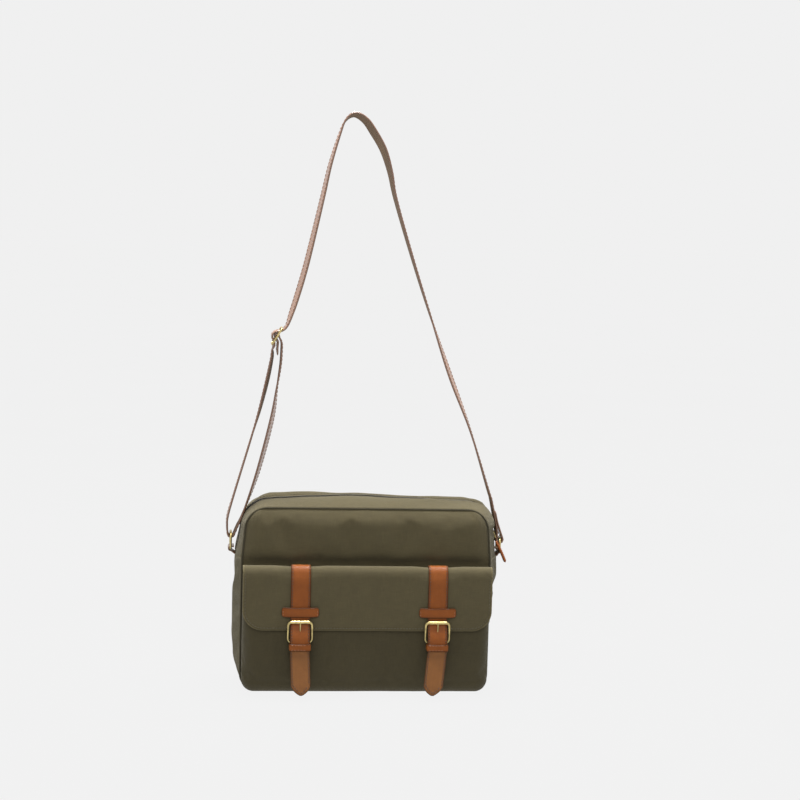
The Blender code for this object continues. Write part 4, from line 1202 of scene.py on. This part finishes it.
def build_upper_strap(side):
    """The strap from the flap's seam over the fold to the keeper, sewn along both edges."""
    line = profile_at(STRAP_X[side], LEATHER / 2 + 0.0002)
    line = [p for p in line if p.z > KEEPER_Z or p.y > -0.070]
    piece = strap(f"strap_{side}_upper", line, (-1, 0, 0), STRAP_WIDTH, LEATHER, "tan_leather", ends="l")
    rows = strap_rows(subdivide(line, SEAM_STEP)[6:], (-1, 0, 0), STRAP_WIDTH, LEATHER)
    sewing = stitches(f"strap_{side}_upper_stitches", rows, DARK_THREAD, "tan_leather", HEAVY_THREAD)
    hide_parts(f"strap_top_{side}")
    blend_all("bag", "flap", BLEND_START, BLEND_END, piece, sewing)


STRAP_LINE = [(-0.0802, 0.1125), (-0.0802, 0.1040), (-0.0803, 0.0975), (-0.0826, 0.0915), (-0.0856, 0.0845)]
STRAP_LINE += [(-0.0872, 0.0780), (-0.0876, 0.0715), (-0.0876, 0.0650)]
TAIL_LENGTH = 0.055
TAIL_TILT = radians(15)
TAIL_POINT = 0.013            # length of the pointed tip
TIP_SEAM = TAIL_POINT * 0.85  # where the stitches leave the edges and follow the tip
TAIL_LEAN = {"left": 0.0018, "right": -0.0066}    # how far each tip hangs to one side


def tail_width(from_end):
    """Width of the strap at a distance from the tail's end."""
    if from_end >= TAIL_POINT:
        return STRAP_WIDTH
    return max(0.0026, STRAP_WIDTH * (0.12 + 0.88 * sin(pi / 2 * from_end / TAIL_POINT) ** 0.85))


def tip_seam(end, upward):
    """The line of stitches round a tail's pointed tip, for stitches()."""
    row = []
    for share in np.linspace(-1, 1, 80):
        across = share * (STRAP_WIDTH / 2 - STITCH_INSET)
        back = TIP_SEAM * abs(share) ** 1.3 + 0.0030
        row.append((end + upward * back + Vector((across, -LEATHER / 2, 0)), Vector((0, -1, 0.2))))
    return row


def build_lower_strap(side):
    """The strap from the keeper through the buckle, and its pointed tail, which bends at the loop."""
    hinge = TAIL_HINGE[side]
    reach = Vector((TAIL_LEAN[side] / TAIL_LENGTH, -sin(TAIL_TILT), -cos(TAIL_TILT)))
    upper = [Vector((STRAP_X[side], y, z)) for y, z in STRAP_LINE]
    tail = [hinge + reach * distance for distance in (0.0, 0.010, 0.022, 0.036, TAIL_LENGTH)]
    line = smooth_path(upper + tail, 0.0011)
    end = line[-1]
    widths = [tail_width((point - end).length) for point in line]
    piece = strap(f"strap_{side}_tail", line, (-1, 0, 0), widths, LEATHER, "tan_leather")
    sewn = [p for p in subdivide(line, SEAM_STEP) if (p - end).length > TIP_SEAM and p.z < KEEPER_Z - 0.004]
    rows = strap_rows(sewn, (-1, 0, 0), STRAP_WIDTH, LEATHER)
    rows.append(tip_seam(end, (line[-12] - end).normalized()))
    sewing = stitches(f"strap_{side}_tail_stitches", rows, DARK_THREAD, "tan_leather", HEAVY_THREAD)
    # Below the hinge the strap takes the greyer copy of the tan leather, which paints the tail's sheen.
    piece.data.materials.append(SHEEN_PAINTED_TAIL_LEATHER)
    for polygon in piece.data.polygons:
        if polygon.center.z < hinge.z + 0.004:
            polygon.material_index = 1
    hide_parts(f"strap_{side}", f"tail_{side}")
    start = hinge + Vector((0, 0, 0.0035))
    finish = hinge - Vector((0, 0, 0.0050))
    blend_all("flap", f"tail_{side}", start, finish, piece, sewing)


KEEPER = 0.0018               # thickness of the band
KEEPER_CORNER = 0.0034
KEEPER_SEAM = 0.0016          # inset of its stitches


def build_keeper_band(side):
    """A band sewn to the flap on both sides of the strap, which it bridges."""
    low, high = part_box(f"keeper_band_{side}")
    x = (low.x + high.x) / 2
    half = (high.x - low.x) / 2
    rest = -(FLAP_FACE + 0.0003 + KEEPER / 2)
    bridge = -(FLAP_FACE + LEATHER + 0.0008 + KEEPER / 2)
    profile = [(-half, rest - 0.0002), (-0.0190, bridge + 0.0014), (-0.0135, bridge + 0.0001)]
    profile += [(0.0, bridge - 0.0003)] + [(-a, y) for a, y in profile[::-1]]
    line = smooth_path([(x + a, y, KEEPER_Z) for a, y in profile], 0.0010)
    height = high.z - low.z
    widths = []
    for point in line:
        past = max(0.0, KEEPER_CORNER - half + abs(point.x - x))
        widths.append(height - 2 * (KEEPER_CORNER - sqrt(max(0.0, KEEPER_CORNER**2 - past**2))))
    piece = strap(f"keeper_{side}", line, (0, 0, 1), widths, KEEPER, "tan_leather")
    inner = [p for p in subdivide(line, SEAM_STEP) if half - abs(p.x - x) > KEEPER_SEAM]
    rows = strap_rows(inner, (0, 0, 1), height, KEEPER, inset=KEEPER_SEAM)
    reach = height / 2 - KEEPER_SEAM
    for end in (inner[0], inner[-1]):
        ups = KEEPER_Z + np.linspace(-reach, reach, 30)
        rows.append([(Vector((end.x, end.y - KEEPER / 2, z)), FRONT) for z in ups])
    sewing = stitches(f"keeper_{side}_stitches", rows, TAN_THREAD, "tan_leather", FINE_THREAD)
    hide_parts(f"keeper_band_{side}")
    ride_all("flap", piece, sewing)


def rounded_loop(half_width, low, high, radius, steps=8):
    """Points of a rounded rectangle in (across, height), evenly enough spaced for a wire."""
    right, left = half_width - radius, radius - half_width
    top, bottom = high - radius, low + radius
    points = []
    for start, x, z in ((0, right, top), (90, left, top), (180, left, bottom), (270, right, bottom)):
        for i in range(steps + 1):
            angle = radians(start + 90 * i / steps)
            points.append((x + radius * cos(angle), z + radius * sin(angle)))
    return points


BUCKLE_WIRE = 0.0014
ROLLER_RADIUS = 0.0023
ROLLER_HALF = 0.0114
PRONG = 0.0008
PLAY = 0.0003                 # gap round the heel bar


def build_buckle(side):
    """A cast frame: a top bar with a roller that lies over the strap, slim sides and a heel bar behind."""
    low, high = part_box(f"buckle_frame_{side}")
    x = (low.x + high.x) / 2
    half = (high.x - low.x) / 2 - BUCKLE_WIRE
    top_z = high.z - BUCKLE_WIRE
    top_y = low.y + BUCKLE_WIRE
    points = []
    for across, up in rounded_loop(half, HEEL_BAR.z, top_z, 0.0050):
        share = (up - HEEL_BAR.z) / (top_z - HEEL_BAR.z)
        points.append(Vector((x + across, HEEL_BAR.y + (top_y - HEEL_BAR.y) * share, up)))
    spread = subdivide(points, 0.0025, closed=True)

    def section(i):
        share = max(0.0, (spread[i].z - (top_z - 0.004)) / 0.004)
        return BUCKLE_WIRE * (1.0 + 0.30 * share), BUCKLE_WIRE * (1.0 + 0.45 * share)

    piece = tube(f"buckle_{side}", spread, BUCKLE_WIRE, "brass", closed=True, sides=16, flatten=section)
    places = x + np.linspace(-ROLLER_HALF, ROLLER_HALF, 15)
    ends = [Vector((place, top_y - 0.0004, top_z)) for place in places]
    roller = tube(f"roller_{side}", ends, ROLLER_RADIUS, "brass", sides=20)
    roller.data.set_sharp_from_angle(angle=radians(40))
    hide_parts(f"buckle_frame_{side}")
    ride_all("flap", piece, roller)


def round_heel_bar(reach, angles):
    """(y, z) points round the heel bar, at angles in degrees from straight behind it."""
    return [(HEEL_BAR.y + reach * cos(radians(a)), HEEL_BAR.z + reach * sin(radians(a))) for a in angles]


PRONG_RUN = [(-0.0832, 0.0785), (-0.0845, 0.0845), (-0.0864, 0.0895), (-0.0870, 0.0960), (-0.0866, 0.1000)]


def build_prong(side):
    """A pin that wraps the heel bar, comes up through the strap's hole and rests on the top bar."""
    x = STRAP_X[side]
    wrap = round_heel_bar(BUCKLE_WIRE + PRONG + PLAY, range(-120, 121, 12))
    line = [Vector((x, y, z)) for y, z in wrap] + smooth_path([(x, y, z) for y, z in PRONG_RUN], 0.0012)

    def section(i):
        share = i / (len(line) - 1)
        taper = 1.0 if share < 0.95 else 0.75
        return PRONG * taper, 0.0010 * taper

    piece = tube(f"prong_{side}", line, PRONG, "brass", flatten=section)
    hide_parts(f"buckle_prong_{side}")
    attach(piece, f"prong_{side}")


CHAPE_BACK = -0.0800
CHAPE_FRONT = -0.0852


def build_chape(side):
    """The leather that holds the buckle, folded round the heel bar on both sides of the prong."""
    x = STRAP_X[side]
    points = [(CHAPE_BACK, z) for z in (0.0440, 0.0550, 0.0660)]
    points += round_heel_bar(BUCKLE_WIRE + PLAY + THIN_LEATHER / 2, range(0, 181, 20))
    points += [(CHAPE_FRONT, z) for z in (0.0660, 0.0570, 0.0480)]
    for part, sign in (("near", -1), ("far", 1)):
        line = smooth_path([Vector((x + sign * 0.0066, y, z)) for y, z in points], 0.0012)
        piece = strap(f"chape_{side}_{part}", line, (1, 0, 0), 0.0086, THIN_LEATHER, "tan_leather")
        if sign < 0:
            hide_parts(f"chape_{side}")
        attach(piece, "flap")
    bridge = [Vector((x, CHAPE_BACK, z)) for z in np.linspace(0.0440, 0.0650, 18)]
    piece = strap(f"chape_{side}_bridge", bridge, (1, 0, 0), 0.0060, THIN_LEATHER * 0.96, "tan_leather")
    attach(piece, "flap")


def build_keeper_loop(side):
    """The closed loop below the buckle that the tail passes through."""
    low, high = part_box(f"keeper_loop_{side}")
    x = (low.x + high.x) / 2
    thickness = 0.0015
    half = (high.x - low.x) / 2 - thickness / 2
    front, back = low.y + thickness / 2, high.y - thickness / 2
    centre_z = (low.z + high.z) / 2
    loop = [Vector((x + a, y, centre_z)) for a, y in rounded_loop(half, front, back, 0.0014, 5)]
    spread = subdivide(loop, 0.0015, closed=True)
    spread.append(spread[0].copy())
    piece = strap(f"loop_{side}", spread, (0, 0, 1), high.z - low.z, thickness, "tan_leather", ends="")
    sewn = [p.x for p in subdivide(spread, SEAM_STEP) if p.y < front + 0.0001]
    sewn = sorted(place for place in sewn if abs(place - x) < half - 0.0015)
    rows = []
    for z in (centre_z - 0.0030, centre_z + 0.0030):
        rows.append([(Vector((place, front - thickness / 2, z)), FRONT) for place in sewn])
    sewing = stitches(f"loop_{side}_stitches", rows, TAN_THREAD, "tan_leather", FINE_THREAD)
    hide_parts(f"keeper_loop_{side}")
    ride_all("flap", piece, sewing)


# ---- rings and shoulder strap ----
RING_WIRE = 0.0015
TAB_WIDTH = 0.0215
SHOULDER_WIDTH = 0.0240
RING_DROP = {"left": 0.0, "right": 0.0040}       # the right ring's upper bar lies this much lower
RING_TURN = {"left": 0.0042, "right": 0.0045}    # how far the strap's middle layer runs from the upper bar


def upper_bar_z(side):
    """Height of a ring's upper bar."""
    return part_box(f"ring_{side}")[1].z - RING_DROP[side] - RING_WIRE


def build_ring(side):
    """A rounded ring of round wire that stands on its lower bar."""
    low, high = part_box(f"ring_{side}")
    foot = RING_FOOT[side]
    half = (high.y - low.y) / 2 - RING_WIRE
    loop = rounded_loop(half, 0.0, upper_bar_z(side) - foot.z, 0.0050)
    points = [Vector((foot.x, across, foot.z + up)) for across, up in loop]
    piece = tube(f"ring_{side}_wire", points, RING_WIRE, "brass", closed=True, sides=16)
    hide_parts(f"ring_{side}")
    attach(piece, f"ring_{side}")


def build_ring_tab(side):
    """A leather loop round the ring's lower bar, sewn into the side seam."""
    sign = SIGN[side]
    foot = RING_FOOT[side]
    reach = RING_WIRE + 0.0004 + THIN_LEATHER / 2
    root = sign * (HALF_WIDTH + swell_at(Vector((sign * HALF_WIDTH, 0, SEAM_Z))) - UNDER_SEAM)
    points = [(root - sign * 0.0034, SEAM_Z - 0.0018), (root + sign * 0.0004, SEAM_Z - 0.0004)]
    for angle in range(-100, 101, 20):
        points.append((foot.x + sign * reach * cos(radians(angle)), foot.z + reach * sin(radians(angle))))
    points.append((foot.x - sign * 0.0042, foot.z + 0.0024))
    line = smooth_path([(x, 0, z) for x, z in points], 0.0009)
    piece = strap(f"tab_{side}", line, (0, sign, 0), TAB_WIDTH, THIN_LEATHER, "strap_leather", ends="l")
    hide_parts(f"ring_tab_{side}")
    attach(piece, "bag")


ADJUSTER_TOP = Vector((-0.1127, 0, 0.4642))
ADJUSTER_FOOT = Vector((-0.1260, 0, 0.4413))
ADJUSTER_ALONG = (ADJUSTER_FOOT - ADJUSTER_TOP).normalized()
ADJUSTER_OUT = Vector((ADJUSTER_ALONG.z, 0, -ADJUSTER_ALONG.x))
ADJUSTER_MIDDLE = (ADJUSTER_TOP + ADJUSTER_FOOT) / 2


def on_adjuster(down, away):
    """A point by its distance down the adjuster and away from it on its outer side."""
    point = ADJUSTER_MIDDLE + ADJUSTER_ALONG * down + ADJUSTER_OUT * away
    return point.x, point.z


def round_bar(reach, start, end, step):
    """The strap's turn round the adjuster's middle bar."""
    turns = [radians(a) for a in range(start, end, step)]
    return [(*on_adjuster(reach * cos(turn), reach * sin(turn)), 0) for turn in turns]


def under_bar(sign):
    """The strap's way past the adjuster's upper end bar for sign -1, or past its lower one for sign 1."""
    ways = [(0.0125, -0.0037), (0.0088, -0.0017), (0.0068, 0.0012)]
    return [(*on_adjuster(sign * down, away), 0) for down, away in ways[::-sign]]


def ring_turn(side, start, end, step):
    """The strap's turn under a ring's upper bar."""
    reach = RING_TURN[side]
    x, z = RING_FOOT[side].x, upper_bar_z(side) - 0.0010
    turns = [radians(a) for a in range(start, end, step)]
    return [(x + reach * cos(turn), z + reach * sin(turn), 0) for turn in turns]


def shoulder_route():
    """(x, z, twist in degrees) along the strap. A positive twist turns its grain side to the front."""
    route = [(0.1697, 0.2300, 0), (0.1730, 0.2160, 0), (0.1774, 0.2030, 0)]
    route += ring_turn("right", 0, -181, -45)
    route += [(0.1730, 0.2030, 0), (0.1650, 0.2431, 1), (0.1607, 0.2563, 2), (0.1346, 0.3350, 7)]
    route += [(0.1061, 0.4064, 15), (0.0777, 0.4838, 4), (0.0522, 0.5579, 0), (0.0290, 0.6309, -3)]
    route += [(0.0213, 0.6648, -9), (0.0116, 0.6938, -15), (-0.0027, 0.7175, -17), (-0.0129, 0.7306, -15)]
    route += [(-0.0259, 0.7371, -11), (-0.0372, 0.7298, -4), (-0.0447, 0.7114, 1), (-0.0560, 0.6720, 5)]
    route += [(-0.0652, 0.6283, 8), (-0.0828, 0.5482, 11), (-0.0946, 0.5040, 11), (-0.1020, 0.4800, 8)]
    route += [(*on_adjuster(-0.0190, -0.0042), 2)] + under_bar(-1) + round_bar(0.0062, 150, 29, -30)
    route += under_bar(1) + [(*on_adjuster(0.0180, -0.0040), -3), (-0.1248, 0.4260, -8)]
    route += [(-0.1303, 0.3956, -11), (-0.1390, 0.3580, -8), (-0.1490, 0.3220, -3), (-0.1700, 0.2480, -2)]
    route += [(-0.1776, 0.2200, 0), (-0.1784, 0.2080, 0)] + ring_turn("left", 180, 361, 45)
    route += [(-0.1660, 0.2050, 0), (-0.1586, 0.2220, 3), (-0.1404, 0.2760, 12), (-0.1238, 0.3440, 13)]
    route += [(-0.1180, 0.3860, 4), (-0.1140, 0.4158, 0), (-0.1131, 0.4340, 0), (-0.1133, 0.4450, 0)]
    route += round_bar(0.0028, 260, -21, -40)
    route += [(*on_adjuster(0.0052, -0.0048), 0), (-0.1184, 0.4380, 0), (-0.1182, 0.4285, 0)]
    return route


def build_shoulder_strap():
    """One strap: sewn round the right ring, over the top, through the adjuster and round the left ring.

    One spline smooths the route and its twist, which is carried in Y at a thousandth of its value.
    """
    samples = smooth_path([(x, twist / 1000, z) for x, z, twist in shoulder_route()], 0.0032)
    line = [Vector((p.x, 0, p.z)) for p in samples]
    across = []
    for sample, tangent in zip(samples, directions(line)):
        twist = radians(sample.y * 1000)
        outward = Vector((0, 1, 0)).cross(tangent).normalized()
        across.append((Vector((0, cos(twist), 0)) + outward * sin(twist)).normalized())
    piece = strap("shoulder_strap_leather", line, across, SHOULDER_WIDTH, LEATHER, "strap_leather",
                  under=SUEDE_LEATHER)
    rows = [densify(row, 0.0008) for row in strap_rows(line, across, SHOULDER_WIDTH, LEATHER)]
    sewing = stitches("shoulder_strap_stitches", rows, BROWN_THREAD, "strap_leather",
                      length=0.0034, gap=0.0014)
    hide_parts("shoulder_strap")
    ride_all("bag", piece, sewing)


def build_adjuster():
    """A tri-glide: a rounded frame and its middle bar."""
    low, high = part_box("strap_adjuster")
    radius = 0.0012
    half = (high.y - low.y) / 2 - radius
    height = (ADJUSTER_TOP - ADJUSTER_FOOT).length
    points = []
    for across, up in rounded_loop(half, -height / 2 + radius, height / 2 - radius, 0.0040):
        points.append(ADJUSTER_MIDDLE - ADJUSTER_ALONG * up + Vector((0, across, 0)))
    piece = tube("adjuster_frame", points, radius, "brass", closed=True, sides=14)
    ends = [ADJUSTER_MIDDLE + Vector((0, y, 0)) for y in np.linspace(-half, half, 9)]
    bar = tube("adjuster_bar", ends, radius * 0.95, "brass", sides=14)
    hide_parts("strap_adjuster")
    ride_all("bag", piece, bar)


# ---- inside ----
def build_lining():
    """An open bag of thin cloth: wavy walls round a rounded rectangle, and a bottom with a soft edge."""
    low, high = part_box("lining")
    half_x, half_y = (high.x - low.x) / 2, (high.y - low.y) / 2
    centre = (low + high) / 2
    outline = [(a, b, 0) for a, b in rounded_loop(half_x, -half_y, half_y, 0.014, 6)]
    outline = [(p.x, p.y) for p in subdivide(outline, 0.008, closed=True)]
    soft_edge = 0.006         # height of the turn from the walls to the bottom
    rows = []
    for z in np.linspace(high.z, low.z + soft_edge, 26):
        row = []
        for a, b in outline:
            wave = abs(ripple((a, b, z), 0.035, 0.0010, 31.0)) * min(1.0, (high.z - z) / 0.02)
            inward = -0.5 * wave if b > 0 else 0.5 * wave
            row.append((centre.x + a * (1 - wave / half_x), centre.y + b + inward, z))
        rows.append(row)
    for share in (0.985, 0.96, 0.90, 0.75, 0.5, 0.2, 0.02):
        z = low.z + soft_edge * max(0.0, (share - 0.90) / 0.1) ** 2
        rows.append([(centre.x + a * share, centre.y + b * share, z) for a, b in outline])
    lining = grid_sheet("lining_bag", rows, "lining_cloth", flip=True, wrap=True, rim_sides="u")
    thicken(lining, LINING)
    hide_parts("lining")
    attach(lining, "bag")


def build_slip_pocket():
    """A flat pocket on the lining's back wall, hemmed and stitched along its mouth."""
    low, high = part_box("slip_pocket")
    rows = []
    for z in np.linspace(high.z, low.z + 0.001, 20):
        row = []
        for s in np.linspace(-1, 1, 40):
            x = s * (high.x - 0.001)
            bow = max(0.0, 1 - abs(s) ** 6) * min(1.0, (z - low.z) / 0.006)
            fullness = bow * (0.75 + ripple((x, 0, z), 0.03, 0.2, 40.0))
            row.append((x, high.y - (high.y - low.y) * fullness, z))
        rows.append(row)
    slip = grid_sheet("slip_pocket_cloth", rows, "lining_cloth", rim_sides="u")
    thicken(slip, LINING)
    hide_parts("slip_pocket")
    hem = [(Vector(p) + Vector((0, -0.0001, -0.004)), FRONT) for p in rows[0]]
    sewing = stitches("slip_pocket_stitches", [densify(hem)], OLIVE_THREAD, "lining_cloth")
    ride_all("bag", slip, sewing)


def dress_cad_nodes():
    """The CAD nodes that stay on show get their slot's material."""
    for node, piece in frame["nodes"].items():
        if not piece.hide_render:
            piece.data.materials.clear()
            piece.data.materials.append(LOOKS["board" if node == "base_board" else "brass"])


def build_floor():
    """A wide plain floor, just below the bag."""
    size = 30.0
    rows = [[(x, y, -0.0004) for x in np.linspace(-size, size, 9)] for y in np.linspace(size, -size, 9)]
    floor = grid_sheet("floor", rows, "board", rim_sides="")
    floor.data.materials.clear()
    floor.data.materials.append(floor_material("pale_floor"))
    del floor["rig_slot"]


bpy.context.scene.view_settings.view_transform = "Standard"
build_camera()
build_light()
for end in FACING:
    build_panel(end)
for end in FACING:
    build_piping(end)
build_side_gusset()
for end in FACING:
    build_top_gusset(end)
for end in FACING:
    build_zip_tape(end)
    build_zip_teeth(end)
build_zip_ends()
build_zip_pull()
build_front_pocket()
build_flap()
for side in SIGN:
    build_upper_strap(side)
    build_lower_strap(side)
    build_keeper_band(side)
    build_buckle(side)
    build_prong(side)
    build_chape(side)
    build_keeper_loop(side)
    build_ring(side)
    build_ring_tab(side)
build_shoulder_strap()
build_adjuster()
build_lining()
build_slip_pocket()
dress_cad_nodes()
build_floor()
